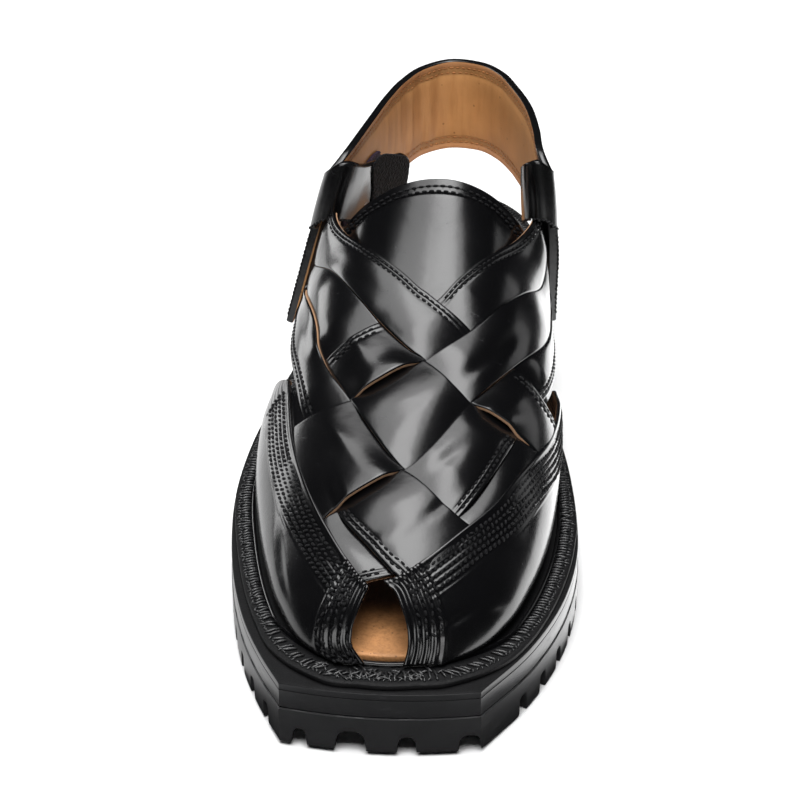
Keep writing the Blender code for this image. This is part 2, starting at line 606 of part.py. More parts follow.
def make_upper():
    """Woven wall, its strips raised where they pass over, with a stepped wing each side."""
    scale = np.array([ROUND_MM, 1.0])
    a_lines = [rail(t, 6.5) * scale for t in A_EDGES]
    b_lines = [rail(t, 6.5) * scale for t in B_EDGES]
    wing_l = rail(WING_LATERAL, 6.5) * scale
    wing_r = rail(WING_MEDIAL, 6.5) * scale
    peep = chain(np.array(PEEP) * scale, 4.0, True)
    ear_l, ear_r = (chain(np.array(t) * scale, 7.0, True) for t in (EAR_LATERAL, EAR_MEDIAL))
    limit = 100.0 * ROUND_MM
    feet = [chain([(s * limit, 0.0), (s * limit, end)], 7.0)
            for s, end in ((-1, WING_LATERAL[0][1]), (1, WING_MEDIAL[-1][1]))]
    toe = [chain([(-limit, 0.0), (PEEP[5][0] * ROUND_MM, 0.0)], 5.0),
           chain([(PEEP[6][0] * ROUND_MM, 0.0), (limit, 0.0)], 5.0)]
    rear = [chain([(-60.0, REAR_LATERAL), (-48.0, REAR_LATERAL)], 6.0),
            chain([(62.0, REAR_MEDIAL), (74.0, REAR_MEDIAL)], 6.0)]
    lines = a_lines + b_lines + [wing_l, wing_r, peep, ear_l, ear_r] + feet + toe + rear
    region_of = upper_regions(a_lines, b_lines, peep, wing_l, wing_r, ear_l, ear_r)
    dives = {"a": a_lines, "b": b_lines}

    def height_of(region, pts):
        if region >= 100:
            share = np.clip((limit - np.abs(pts[:, 0])) / WING_FADE, 0.0, 1.0)
            return STRIP_LOW + (STRIP_RISE + WING_RISE) * share
        if region not in RUNS:
            return np.full(len(pts), STRIP_LOW)
        letter, ids = RUNS[region]
        near = np.min([distance(pts, dives[letter][k]) for k in ids], axis=0)
        return STRIP_LOW + STRIP_RISE * np.sin(np.clip(near / STRIP_RAMP, 0, 1) * math.pi / 2)

    def place(pts, h):
        space = upper_point(pts[:, 1], pts[:, 0] / ROUND_MM, h)
        stand = sole_top(space[:, 1]) + WELT_THICK + 2 * GAP
        space[:, 2] = np.maximum(space[:, 2], stand)
        return space

    return stepped_solid("upper", lines, 9.0, region_of, height_of, place, -UPPER_WALL)


def tongue_point(y, around, lift=0.0):
    """Points of the tongue's outer face at y, around from -100 to 100 over the crest."""
    def face(y, around):
        lat, med, cx, cz, n = (smooth(y, TONGUE_ROWS, c) for c in range(1, 6))
        t = np.clip(around / 100.0, -1.0, 1.0)
        angle = np.abs(t) * math.pi / 2
        half = np.where(t < 0, -lat, med)
        base = sole_top(y) + WELT_THICK
        x = cx + half * np.sin(angle) ** (2 / n)
        z = base + (cz - base) * np.cos(angle) ** (2 / n)
        return np.stack([x, y, z], -1)
    e = 0.4
    dy = face(y + e, around) - face(y - e, around)
    dr = face(y, around + e) - face(y, around - e)
    normal = np.cross(dr, dy)
    normal /= np.linalg.norm(normal, axis=-1, keepdims=True)
    return face(y, around) + normal * np.asarray(lift, float)[..., None]


def make_tongue():
    edge = through(np.array(TONGUE_EDGE) * (TONGUE_ROUND_MM, 1.0), 2, True)

    def place(pts, h):
        return tongue_point(pts[:, 1], pts[:, 0] / TONGUE_ROUND_MM, h)

    return stepped_solid("tongue", [chain(edge, 9.0, True)], 8.5, flat_region(edge),
                         even(0.0), place, -TONGUE_THICK)


def strap_rows():
    """Strap rows with the length run along the upper edge first, and that length by row."""
    pts = np.array([r[:2] for r in STRAP_ROWS])
    run = np.r_[0.0, np.cumsum(np.linalg.norm(np.diff(pts, axis=0), axis=1))]
    return [(d,) + tuple(r) for d, r in zip(run, STRAP_ROWS)], run


def strap_point(run, down, lift=0.0):
    """Points of the strap's middle face: run along its upper edge, down from it."""
    rows, _ = strap_rows()

    def face(run, down):
        x, y, z, dx, dy = (smooth(run, rows, c) for c in range(1, 6))
        return np.stack([x + dx * down, y + dy * down, z - down], -1)
    e = 0.3
    du = face(run + e, down) - face(run - e, down)
    dw = face(run, down + e) - face(run, down - e)
    normal = np.cross(du, dw)
    normal /= -np.linalg.norm(normal, axis=-1, keepdims=True)
    return face(run, down) + normal * np.asarray(lift, float)[..., None]


def strap_outline():
    """Chart outline of the strap: tabs at both ends, full height between the front edges."""
    rows, run = strap_rows()
    end = run[-1]
    row = np.arange(len(run))
    front_l, front_r = np.interp([FRONT_LATERAL, FRONT_MEDIAL], row, run)
    drop = [(np.interp(r, row, run), d) for r, d in STRAP_DROP]
    c = TAB_CORNER
    pts = [(c, 0.0), (end - c, 0.0), (end, c), (end, TAB_DROP - c), (end - c, TAB_DROP),
           (front_r, TAB_DROP)]
    pts += drop[::-1]
    pts += [(front_l, TAB_DROP), (c, TAB_DROP), (0.0, TAB_DROP - c), (0.0, c)]
    return pts, front_l, front_r


def make_strap():
    pts, front_l, front_r = strap_outline()
    edge = chain(pts, 7.0, True)
    rows, run = strap_rows()
    folds = []
    for low, high in FOLD_ROWS:
        for u in np.linspace(run[low], run[high], FOLD_STEPS):
            deep = TAB_DROP if (u < front_l or u > front_r) else FOLD_DEEP
            folds.append(chain([(u, 0.0), (u, deep)], 12.0))
    lines = [edge] + folds
    half = STRAP_THICK / 2
    return stepped_solid("heel_strap", lines, 9.0, flat_region(edge), even(half),
                         lambda p, h: strap_point(p[:, 0], p[:, 1], h), -half)


def make_pad():
    corners = [(PAD_RUN[a], PAD_DOWN[b]) for a, b in ((0, 0), (1, 0), (1, 1), (0, 1))]
    edge = chain(corners, 6.0, True)
    base = STRAP_THICK / 2 + GAP
    return stepped_solid("fastening_pad", [edge], 6.0, flat_region(edge), even(base + PAD_THICK),
                         lambda p, h: strap_point(p[:, 0], p[:, 1], h), base)


FINISHES = {
    # node: base colour, roughness
    "outsole": ((0.022, 0.022, 0.024), 0.55),
    "midsole": ((0.018, 0.018, 0.020), 0.40),
    "welt": ((0.014, 0.014, 0.015), 0.45),
    "insole": ((0.42, 0.22, 0.10), 0.60),
    "upper": ((0.010, 0.010, 0.012), 0.18),
    "tongue": ((0.010, 0.010, 0.012), 0.20),
    "heel_strap": ((0.012, 0.012, 0.014), 0.25),
    "fastening_pad": ((0.020, 0.016, 0.022), 0.90),
}


def paint(obj):
    colour, rough = FINISHES[obj.name]
    mat = bpy.data.materials.new(obj.name)
    mat.use_nodes = True
    shader = mat.node_tree.nodes["Principled BSDF"]
    shader.inputs["Base Color"].default_value = colour + (1.0,)
    shader.inputs["Roughness"].default_value = rough
    obj.data.materials.append(mat)


def main():
    for obj in list(bpy.data.objects):
        bpy.data.objects.remove(obj, do_unlink=True)
    for make in (make_outsole, make_midsole, make_welt, make_insole, make_upper, make_tongue,
                 make_strap, make_pad):
        paint(make())


main()
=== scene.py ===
"""Black woven leather chappal for the right foot, built as a set of operators.

Frame: toe towards -Y, heel towards +Y, inner (medial) side +X, floor at z = 0. The tables and
functions work in millimetres and are turned to metres where a mesh is made.
"""

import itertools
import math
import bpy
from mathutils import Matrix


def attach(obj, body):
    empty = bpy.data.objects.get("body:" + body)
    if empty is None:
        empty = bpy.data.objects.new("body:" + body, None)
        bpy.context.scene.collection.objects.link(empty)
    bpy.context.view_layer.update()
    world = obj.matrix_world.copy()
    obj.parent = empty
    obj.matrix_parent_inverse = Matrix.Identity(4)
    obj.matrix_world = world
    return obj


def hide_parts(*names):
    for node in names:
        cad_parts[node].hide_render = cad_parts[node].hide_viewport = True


bl_info = {
    "name": "Woven chappal",
    "version": (1, 0, 0),
    "blender": (4, 5, 0),
    "location": "View3D > Sidebar > Chappal",
    "description": "Builds a woven leather chappal with a peep toe, heel strap and lugged sole",
    "category": "Mesh",
}

import bmesh
import bpy
import numpy as np
from mathutils import Vector

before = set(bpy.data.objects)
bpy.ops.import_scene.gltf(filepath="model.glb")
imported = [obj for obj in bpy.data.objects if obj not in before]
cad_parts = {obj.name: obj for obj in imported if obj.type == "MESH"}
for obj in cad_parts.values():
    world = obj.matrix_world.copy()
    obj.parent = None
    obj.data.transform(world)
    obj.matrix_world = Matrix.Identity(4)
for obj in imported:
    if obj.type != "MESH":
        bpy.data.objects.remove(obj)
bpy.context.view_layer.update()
MM = 0.001

# ---- sizes shared by the pieces, millimetres -------------------------------------------------
GAP = 0.35  # between neighbouring pieces
MIDSOLE_THICK = 9.8
TREAD_DEPTH = 8.0
WELT_THICK = 1.6
WELT_WIDTH = 9.5
WELT_EDGE = 2.0  # of the sole, left uncovered beside the welt
INSOLE_THICK = 3.6
STRIP_LOW = 0.4  # height of a strip where it goes from over to under
STRIP_RISE = 1.5  # added where it runs over, in full STRIP_RAMP further on
STRIP_RAMP = 11.0
WING_FADE = 10.0  # from the foot, where a wing thins into the welt
TONGUE_THICK = 2.2
STRAP_THICK = 2.6
STRAP_HALF = STRAP_THICK / 2
FLAP_LEAN = 2.6  # how far the medial flap's lower end leans to the upper
TAB_DROP = 21.5  # height of the strap's tabs
TOE_BULGE = 3.6  # how far the cut toe is bowed out
AROUND = 0.85  # millimetres in one unit of the upper's around coordinate
TONGUE_AROUND = 0.75  # and of the tongue's

# Outline of the sole from above, lateral toe corner round the heel to the medial corner: x, y.
OUTLINE = (
    (-32.5, -146), (-40.5, -131), (-47.5, -115), (-53, -97), (-57.6, -72), (-59.5, -48),
    (-58, -24), (-52.5, 6), (-46, 34), (-41.5, 62), (-40.5, 90), (-38, 114), (-30, 133.5),
    (-16.5, 145.2), (0, 148.9), (16.5, 145.2), (29.5, 133.5), (37, 114), (38.5, 90), (37.5, 62),
    (41, 34), (48.5, 2), (54.5, -23), (58.5, -50), (59.5, -67), (56.5, -92), (47.5, -118),
    (32, -144.6),
)
# Height of the sole along the foot: y, tread z, top z.
SOLE_ROWS = (
    (-148, 1.8, 26), (-130, 0.6, 24.9), (-108, 0, 24.2), (-70, 0, 24), (-30, 0, 25.2),
    (10, 0, 27.2), (60, 0, 29.6), (149, 0, 31.5),
)
# Sections of the upper: along, lateral x, y, medial x, y, crest x, y, z, roundness, tucks.
UPPER_ROWS = (
    (0, -14.5, -135.2, 17, -133.4, 1.5, -135.9, 27.7, 2, 0, 0),
    (12, -26, -127, 28.5, -126, 1.5, -130.5, 39, 2.1, 1, 1),
    (27, -34.8, -112.5, 37.5, -114, 2, -119, 47.5, 2.2, 2.2, 2.2),
    (47, -41.3, -95, 44, -97, 2.5, -101, 55.5, 2.3, 2.5, 2.5),
    (72, -46.8, -73, 48.7, -75, 3, -77, 64, 2.3, 2.5, 2.5),
    (98, -50.5, -50, 50.5, -50, 3, -52, 72, 2.3, 2.5, 3),
    (124, -51, -25, 50.5, -25, 2.5, -27, 81, 2.3, 2.5, 4),
    (151, -47.6, 0, 48.5, 0, 2.5, -2, 91.5, 2.3, 3, 5.5),
    (178, -43.2, 24, 45, 24, 3, 22, 101.5, 2.4, 3, 6.5),
    (204, -36, 46, 42.3, 46, 3.3, 44, 121, 3.3, 3, 6.5),
    (230, -29.5, 68, 36.5, 68, 3.3, 66, 134, 3.6, 3, 6.5),
)
# Edges of the woven strips, (around, along) pairs: A from the lateral ear, B from the medial.
A_EDGES = (
    ((-67, 210), (-60, 198.5), (-53, 189), (-43, 179), (-23, 161), (-7, 148), (4, 137.5),
     (20, 128), (43, 121), (62, 118), (84, 119)),
    ((-66, 181), (-43, 160), (-25, 141), (-14, 129), (2, 113.5), (22, 99), (47, 94), (74, 93)),
    ((-72, 176), (-58, 157), (-45, 138), (-37, 118), (-23, 98), (-1, 69), (24, 52), (40, 47)),
    ((-88, 199), (-81, 182), (-72, 160), (-65, 142), (-54, 120), (-45, 95), (-35, 70), (-27, 51),
     (-12, 38), (0, 29), (8, 23)),
)
B_EDGES = (
    ((-76, 116), (-52, 116), (-37, 118), (-14, 129), (4, 137.5), (13, 148), (28, 163.5),
     (47, 182.5), (56, 192), (64, 201.5), (69, 210)),
    ((-70, 92), (-45, 94), (-23, 98), (2, 113.5), (20, 128), (32, 141), (45, 154), (64, 175),
     (72, 190)),
    ((-60, 42), (-42, 46), (-27, 53), (-1, 69), (22, 99), (43, 122), (64, 146), (76, 168)),
    ((-14, 25), (0, 29.5), (24, 52), (47, 92), (62, 116), (74, 140), (79, 160), (83, 180),
     (88, 199)),
)
# Boundary of each wing in (around, along) pairs: rear edge up from the foot, upper edge to the
# peep toe, peep edge down to the welt, then the foot line from the rear to the toe.
LATERAL_WING = {
    "rear": ((-100, 134), (-84, 131), (-70, 126), (-57.5, 118.5)),
    "top": ((-57.5, 118.5), (-54, 111), (-52, 102), (-49.6, 88), (-46.2, 74.8), (-41.2, 61.9),
            (-32.9, 46.8), (-22.7, 33), (-17, 27.5), (-12, 23.5)),
    "peep": ((-32, 0), (-36, 4.5), (-29, 10), (-20, 16), (-12, 23.5)),
    "foot": ((-100, 134), (-100, 90), (-100, 45), (-100, 12), (-100, 0), (-70, 0), (-32, 0)),
    "tan_peep": True,
}
MEDIAL_WING = {
    "rear": ((100, 152), (94, 150.5), (86, 146)),
    "top": ((86, 146), (80.5, 131), (74, 115), (66.5, 101), (58.8, 90), (49.2, 76), (38.7, 59.2),
            (26.7, 46.8), (15.1, 36.5), (4.5, 29.5), (-3, 26)),
    "peep": ((22, 0), (20.8, 3.2), (14.8, 10.2), (6.4, 17.8), (1.2, 23.2), (-3, 26)),
    "foot": ((100, 152), (100, 100), (100, 50), (100, 12), (100, 0), (60, 0), (22, 0)),
    "tan_peep": False,
}
# Foot of the upper's line continued round the heel, x and y.
HEEL_LINE = (
    (-40, 32), (-35, 60), (-33.5, 88), (-31, 111), (-24, 129), (-12.5, 138.8), (0, 141.5),
    (12.5, 138.8), (23.5, 129), (30, 111), (31.5, 88), (31, 60), (35.4, 32),
)
# Sections of the tongue: y, lateral half, medial half, crest x, crest z, roundness.
TONGUE_ROWS = (
    (-34, 47, 44.5, 2.6, 75, 2.25), (-15, 46.5, 43.5, 2.6, 82.2, 2.25),
    (0, 45.2, 42.6, 2.8, 88, 2.25), (15, 44, 41.2, 3, 95.2, 2.2),
    (25, 43.6, 40.4, 3.2, 102.6, 2.15), (34, 44.2, 41.2, 3.4, 109.5, 2.1),
)
TONGUE_EDGE = (
    (-74, 28), (-65, 34), (-48, 33), (-30, 32), (0, 32), (28, 33), (47, 35), (64, 37), (75, 32),
    (73, -2), (46, -24), (20, -31), (-20, -31), (-44, -26), (-68, -4),
)
# Heel strap along its upper edge from the lateral tab's end to the medial tab's end:
# x, y, top z, lean in x and y per mm down.
STRAP_ROWS = (
    (-9.8, 69.5, 96, -0.14, 0), (-15.6, 59, 99.7, -0.18, -0.03),
    (-20.8, 49.5, 102.5, -0.22, -0.07), (-24, 42.8, 105.5, -0.24, -0.11),
    (-26.8, 38.8, 108.5, -0.25, -0.14), (-31, 37.2, 109, -0.25, -0.14),
    (-35.4, 39.8, 103.5, -0.25, -0.14), (-35.6, 44.5, 100.5, -0.25, -0.14),
    (-30.6, 54.5, 103.4, -0.22, -0.14), (-26.8, 69.5, 103.4, -0.13, -0.08),
    (-23.9, 84, 102.2, -0.06, -0.03), (-20.4, 101, 100.7, -0.02, -0.01),
    (-15.8, 116.5, 99.6, 0, -0.02), (-9.3, 128.5, 99, 0, -0.04), (0.5, 134.7, 99.2, 0, -0.06),
    (12, 130.8, 100.6, 0, -0.04), (20.6, 119.5, 103, 0, -0.02), (26.6, 105.5, 104.8, 0.02, -0.01),
    (32.2, 89.5, 106.3, 0.04, -0.03), (36.2, 70, 107.4, 0.07, -0.06), (38.5, 55, 107, 0.1, -0.12),
    (42.2, 45.5, 104.5, 0.1, -0.16), (42.5, 41, 107.5, 0.1, -0.16),
    (38.4, 37.8, 113.2, 0.08, -0.15), (35, 39.2, 111.5, 0.06, -0.13),
    (33.6, 43.5, 107.5, 0.05, -0.11), (33, 51, 103.5, 0.05, -0.07),
)
# Height of the strap by row, between its front edges.
STRAP_DROP = (
    (7, 59), (8, 53), (9, 43.5), (10, 39), (11, 37), (14, 37), (17, 37), (18, 38.5), (19, 43),
    (20, 51), (21, 57),
)
FRONT_ROWS = (7, 21)  # rows at the strap's front edges
# Outlines of the tapes on the strap, (run, down): loop tape inside the lateral side, hook tape on
# the tab's outer face, standing a little over its upper edge.
LOOP_TAPE = (
    (66.2, 17), (67.4, 14.8), (70, 14.2), (79.5, 14.2), (89, 14.2), (91.6, 14.8), (92.8, 17),
    (92.8, 23.5), (92.8, 30), (91.6, 32.2), (89, 32.8), (79.5, 32.8), (70, 32.8), (67.4, 32.2),
    (66.2, 30), (66.2, 23.5),
)
HOOK_TAPE = (
    (0.9, 7), (1.3, 3.4), (4, 0.9), (9, -0.6), (14, -2), (19, -3.2), (22.6, -2.6), (24.4, 0),
    (23.4, 4.5), (21.6, 9), (20.2, 14), (19.4, 18.5), (18.2, 20.4), (14, 20.6), (8, 20.6),
    (3.2, 20.2), (1.2, 17.5), (0.9, 12),
)
# Notches under the toe: x, half-width, length.
TOE_NOTCHES = ((-26.0, 2.0, 7.0), (-9.4, 4.5, 9.0), (8.6, 2.6, 8.0), (28.7, 3.4, 7.0))
SIDE_PITCH = 13.4  # from one side notch to the next
CORNER_LUGS = (12.0, 24.0)  # length of the first lug behind the toe, lateral and medial
NOTCH_HALF = 2.3  # half the width of a side notch
ARCH = (20.0, 50.0)  # y of the raised waist's ends
ARCH_RISE = 6.5
OUTLINE_STEPS = 12  # points of the sole's outline for each row of its table
TOE_FROM = (len(OUTLINE) - 1) * OUTLINE_STEPS  # last point of the outline's sides
CHEVRONS = (-110, -86, -62, -38, -14, 72, 96)  # y of each cut across the tread
# Loops of the lugs: inwards from the outline under the tread, then share down the side wall
# and how far out. Columns stand at CUT_STEPS from each side of a notch.
TREAD_INSETS = (0.0, 0.35, 1.2, 2.5, 4.0, 6.0, 8.0, 10.0, 11.2, 12.0, 13.0, 14.5)
LUG_WALL = ((0.0, -0.35), (0.03, 0.0), (0.2, 0.0), (0.45, 0.0), (0.7, 0.0), (0.9, 0.0),
            (0.97, -0.12))
CUT_STEPS = (-0.5, -0.12, 0.02, 0.12, 0.35, -0.25, 0.7)
MIDDLE_INSET = 14.2  # of the tread's middle
# Side of the midsole: out, share down, with a scored line a quarter of the way down.
MIDSOLE_WALL = (
    (0.16, 0.004), (0.34, 0.02), (0.42, 0.05), (0.42, 0.235), (0.40, 0.25), (0.10, 0.262),
    (0.10, 0.285), (0.40, 0.297), (0.42, 0.31), (0.42, 0.95), (0.30, 0.985),
)


# ---- curves and faces of the shoe ------------------------------------------------------------
def smooth(x, table, column):
    """Cubic through a column of the table, its slope at each row the weighted mean of the two
    neighbouring rises, held level past the ends."""
    xs, ys = (np.array([row[k] for row in table], float) for k in (0, column))
    step = np.diff(xs)
    rise = np.diff(ys) / step
    inner = (rise[:-1] * step[1:] + rise[1:] * step[:-1]) / (step[:-1] + step[1:])
    slope = np.r_[rise[0], inner, rise[-1]]
    x = np.clip(np.asarray(x, float), xs[0], xs[-1])
    k = np.clip(np.searchsorted(xs, x, side="right") - 1, 0, len(step) - 1)
    h = step[k]
    u = (x - xs[k]) / h
    a = ys[k] * (1 + 2 * u) * (1 - u) ** 2 + h * slope[k] * u * (1 - u) ** 2
    b = ys[k + 1] * u * u * (3 - 2 * u) + h * slope[k + 1] * u * u * (u - 1)
    return a + b


def ease(x, low, high):
    """0 below low, 1 above high and 3t^2 - 2t^3 between them."""
    t = np.clip((np.asarray(x, float) - low) / (high - low), 0.0, 1.0)
    return t * t * (3 - 2 * t)


def bell(x, middle, width):
    """exp(-((x - middle) / width)^2)."""
    return np.exp(-(((np.asarray(x, float) - middle) / width) ** 2))


def lengths(points, closed=False):
    """Distance run along a polyline at each of its points, and past the last when closed."""
    pts = np.vstack([points, points[:1]]) if closed else points
    return np.r_[0.0, np.cumsum(np.linalg.norm(np.diff(pts, axis=0), axis=1))]


def walk(points, at, closed=False, by=None):
    """Points of a polyline at the distances `at` along it, or along the polyline `by`."""
    dist = lengths(points if by is None else by, closed)
    pts = np.vstack([points, points[:1]]) if closed else points
    return np.stack([np.interp(at, dist, pts[:, k]) for k in range(pts.shape[1])], 1)


def size(name):
    """One of the sizes set in the panel."""
    return getattr(bpy.context.scene.chappal_sizes, name)


def unit(vectors):
    """Vectors brought to length 1."""
    return vectors / np.linalg.norm(vectors, axis=-1, keepdims=True)


def face_normal(face, s, t, step):
    """Unit normal of face(s, t): the cross product of its slopes, taken over a step each way."""
    slope_s = face(s + step, t) - face(s - step, t)
    slope_t = face(s, t + step) - face(s, t - step)
    return unit(np.cross(slope_t, slope_s))


def sole_top(y):
    """Height of the midsole's top face at y."""
    return smooth(y, SOLE_ROWS, 2)


def upper_face(along, around):
    """Superellipse rib of each section: out = sin(a)^(2/n), up = cos(a)^(2/n), a from 0 at the
    crest to 90 degrees at either foot, turned in by the tuck towards the foot."""
    lx, ly, mx, my, cx, cy, cz, n, lt, mt = (smooth(along, UPPER_ROWS, c) for c in range(1, 11))
    t = np.clip(around / 100.0, -1.0, 1.0)
    fx = np.where(t < 0, lx, mx)
    fy = np.where(t < 0, ly, my)
    fz = sole_top(fy) + WELT_THICK + 2 * GAP
    angle = np.abs(t) * math.pi / 2
    out = np.sin(angle) ** (2 / n)
    up = np.maximum(np.cos(angle), 0.0) ** (2 / n)
    tuck = 1 - np.where(t < 0, lt, mt) / 50.0 * np.abs(t) ** 10
    x = cx + (fx - cx) * out * tuck
    y = cy + (fy - cy) * out
    z = fz + (cz - fz) * up
    return np.stack([x, y, z], -1)


def upper_normal(along, around):
    """Unit normal of the upper's face, kept off the ends of its sections."""
    return face_normal(upper_face, np.maximum(along, 3.0), np.clip(around, -97.0, 97.0), 0.4)


def upper_point(along, around, lift=0.0):
    """The upper's face moved out by lift along its normal."""
    along, around = np.broadcast_arrays(np.asarray(along, float), np.asarray(around, float))
    lift = np.broadcast_to(np.asarray(lift, float), along.shape)
    return upper_face(along, around) + upper_normal(along, around) * lift[..., None]


def on_upper(chart, lift=0.0):
    """Upper point of chart pairs (around in millimetres, along), kept over the welt."""
    space = upper_point(chart[..., 1], chart[..., 0] / AROUND, lift)
    space[..., 2] = np.maximum(space[..., 2], sole_top(space[..., 1]) + WELT_THICK + 2 * GAP)
    return space


def up_from_upper(chart):
    """Normals of the upper's face at chart pairs."""
    return upper_normal(chart[..., 1], chart[..., 0] / AROUND)


def tongue_base(y, around):
    """Superellipse rib of the tongue's section at y."""
    lat, med, cx, cz, n = (smooth(y, TONGUE_ROWS, c) for c in range(1, 6))
    t = np.clip(around / 100.0, -1.0, 1.0)
    angle = np.abs(t) * math.pi / 2
    half = np.where(t < 0, -lat, med)
    base = sole_top(y) + WELT_THICK
    x = cx + half * np.sin(angle) ** (2 / n)
    z = base + (cz - base) * np.cos(angle) ** (2 / n)
    return np.stack([x, y, z], -1)


def on_tongue(chart, lift=0.0):
    """Tongue point of chart pairs (around in millimetres, y), moved out by lift."""
    y, around = chart[..., 1], chart[..., 0] / TONGUE_AROUND
    lift = np.broadcast_to(lift, y.shape)[..., None]
    return tongue_base(y, around) + face_normal(tongue_base, y, around, 0.4) * lift


STRAP_RUN = lengths(np.array([row[:2] for row in STRAP_ROWS]))  # along the upper edge, by row
STRAP_TABLE = [(run,) + row for run, row in zip(STRAP_RUN, STRAP_ROWS)]
STRAP_FRONTS = STRAP_RUN[list(FRONT_ROWS)]
STRAP_END = STRAP_RUN[-1]


def strap_base(run, down):
    """Upper edge of the strap at run, then down along its leaning face."""
    x, y, z, dx, dy = (smooth(run, STRAP_TABLE, c) for c in range(1, 6))
    tucked = FLAP_LEAN * ease(down, 26.0, 58.0) * ease(run, 240.0, 253.0)
    return np.stack([x + dx * down - tucked, y + dy * down, z - down], -1)


def strap_point(run, down, lift=0.0):
    """Point of the strap's middle face, moved by lift towards the lining."""
    run, down = np.broadcast_arrays(np.asarray(run, float), np.asarray(down, float))
    lift = np.broadcast_to(lift, run.shape)[..., None]
    return strap_base(run, down) + face_normal(strap_base, run, down, 0.3) * lift


def smooth_walk(points, at):
    """Smooth curve through chart points at the distances `at` along their polyline."""
    rows = np.column_stack([lengths(points), points])
    return np.stack([smooth(at, rows, 1), smooth(at, rows, 2)], 1)


def through(points, per, closed):
    """Smooth curve through plan points with `per` steps between neighbours."""
    pts = np.array(points, float)
    if closed:
        pts = np.vstack([pts[-3:], pts, pts[:3]])
    dist = lengths(pts)
    first, last = (3, len(pts) - 3) if closed else (0, len(pts) - 1)
    at = [dist[first]]
    for k in range(first, last):
        at.extend(dist[k] + (dist[k + 1] - dist[k]) * (j + 1) / per for j in range(per))
    return smooth_walk(pts, at[:-1] if closed else at)


def outward(poly):
    """Outward unit normals of a closed plan polygon, lengthened at its corners."""
    nxt = unit(np.roll(poly, -1, axis=0) - poly)
    prv = np.roll(nxt, 1, axis=0)
    side = np.stack([prv[:, 1] + nxt[:, 1], -(prv[:, 0] + nxt[:, 0])], 1)
    side /= np.maximum((side * side).sum(1, keepdims=True) / 2.0, 1.0)
    area = (poly[:, 0] * np.roll(poly[:, 1], -1) - poly[:, 1] * np.roll(poly[:, 0], -1)).sum()
    return side * math.copysign(1.0, area)


def distance(points, line):
    """Distance of each point to a polyline."""
    flat = points.reshape(-1, 2)
    near = np.full(len(flat), 1e9)
    for a, b in zip(line[:-1], line[1:]):
        d = b - a
        u = np.clip(((flat - a) @ d) / (d @ d), 0.0, 1.0)
        near = np.minimum(near, np.linalg.norm(flat - a - u[:, None] * d, axis=1))
    return near.reshape(points.shape[:-1])


def rail(pairs, count):
    """A table of (around, along) pairs as `count` evenly spaced chart points in millimetres."""
    pts = np.array(pairs, float) * (AROUND, 1.0)
    return smooth_walk(pts, np.linspace(0.0, lengths(pts)[-1], count))


def sole_outline(per=OUTLINE_STEPS):
    """Sole outline: smooth sides, and a toe cut bowed out by 4 u (1 - u) of its bulge."""
    sides = through(OUTLINE, per, False)
    corner, start = np.array(OUTLINE[-1]), np.array(OUTLINE[0])
    u = np.linspace(0.0, 1.0, 4 * per)[1:-1, None]
    toe = corner + (start - corner) * u + np.array([0.0, -TOE_BULGE]) * 4 * u * (1 - u)
    return np.vstack([sides, toe])


def foot_line(per=6):
    """Plan line where the upper stands, closed round the heel."""
    steps = np.array([3.0, 8.0, 16.0, 27.0, 40.0, 55.0, 72.0, 90.0, 110.0, 130.0, 150.0])
    lateral = upper_face(steps[::-1], np.full_like(steps, -100.0))[:, :2]
    toe = upper_face(np.zeros(5), np.array([-80.0, -40.0, 0.0, 40.0, 80.0]))[:, :2]
    medial = upper_face(steps, np.full_like(steps, 100.0))[:, :2]
    return through(np.vstack([lateral, toe, medial, HEEL_LINE[::-1]]), per, True)


# ---- mesh makers ------------------------------------------------------------------------------
def put_mesh(name, points, faces, marks=None, finishes=(), numbers=None):
    """A smooth-shaded object from points in millimetres; marks gives each face its finish, and
    numbers names one value per point for the finishes to read."""
    mesh = bpy.data.meshes.new(name)
    mesh.from_pydata((np.asarray(points, float) * MM).tolist(), [], faces)
    for finish in finishes:
        mesh.materials.append(finish)
    if marks is not None:
        mesh.polygons.foreach_set("material_index", np.asarray(marks, np.int32))
    mesh.polygons.foreach_set("use_smooth", np.ones(len(faces), bool))
    for key, values in (numbers or {}).items():
        layer = mesh.attributes.new(key, "FLOAT", "POINT")
        layer.data.foreach_set("value", np.asarray(values, np.float32).ravel())
    bm = bmesh.new()
    bm.from_mesh(mesh)
    bmesh.ops.recalc_face_normals(bm, faces=bm.faces)
    bm.to_mesh(mesh)
    bm.free()
    mesh.update()
    obj = bpy.data.objects.new(name, mesh)
    bpy.context.scene.collection.objects.link(obj)
    return obj


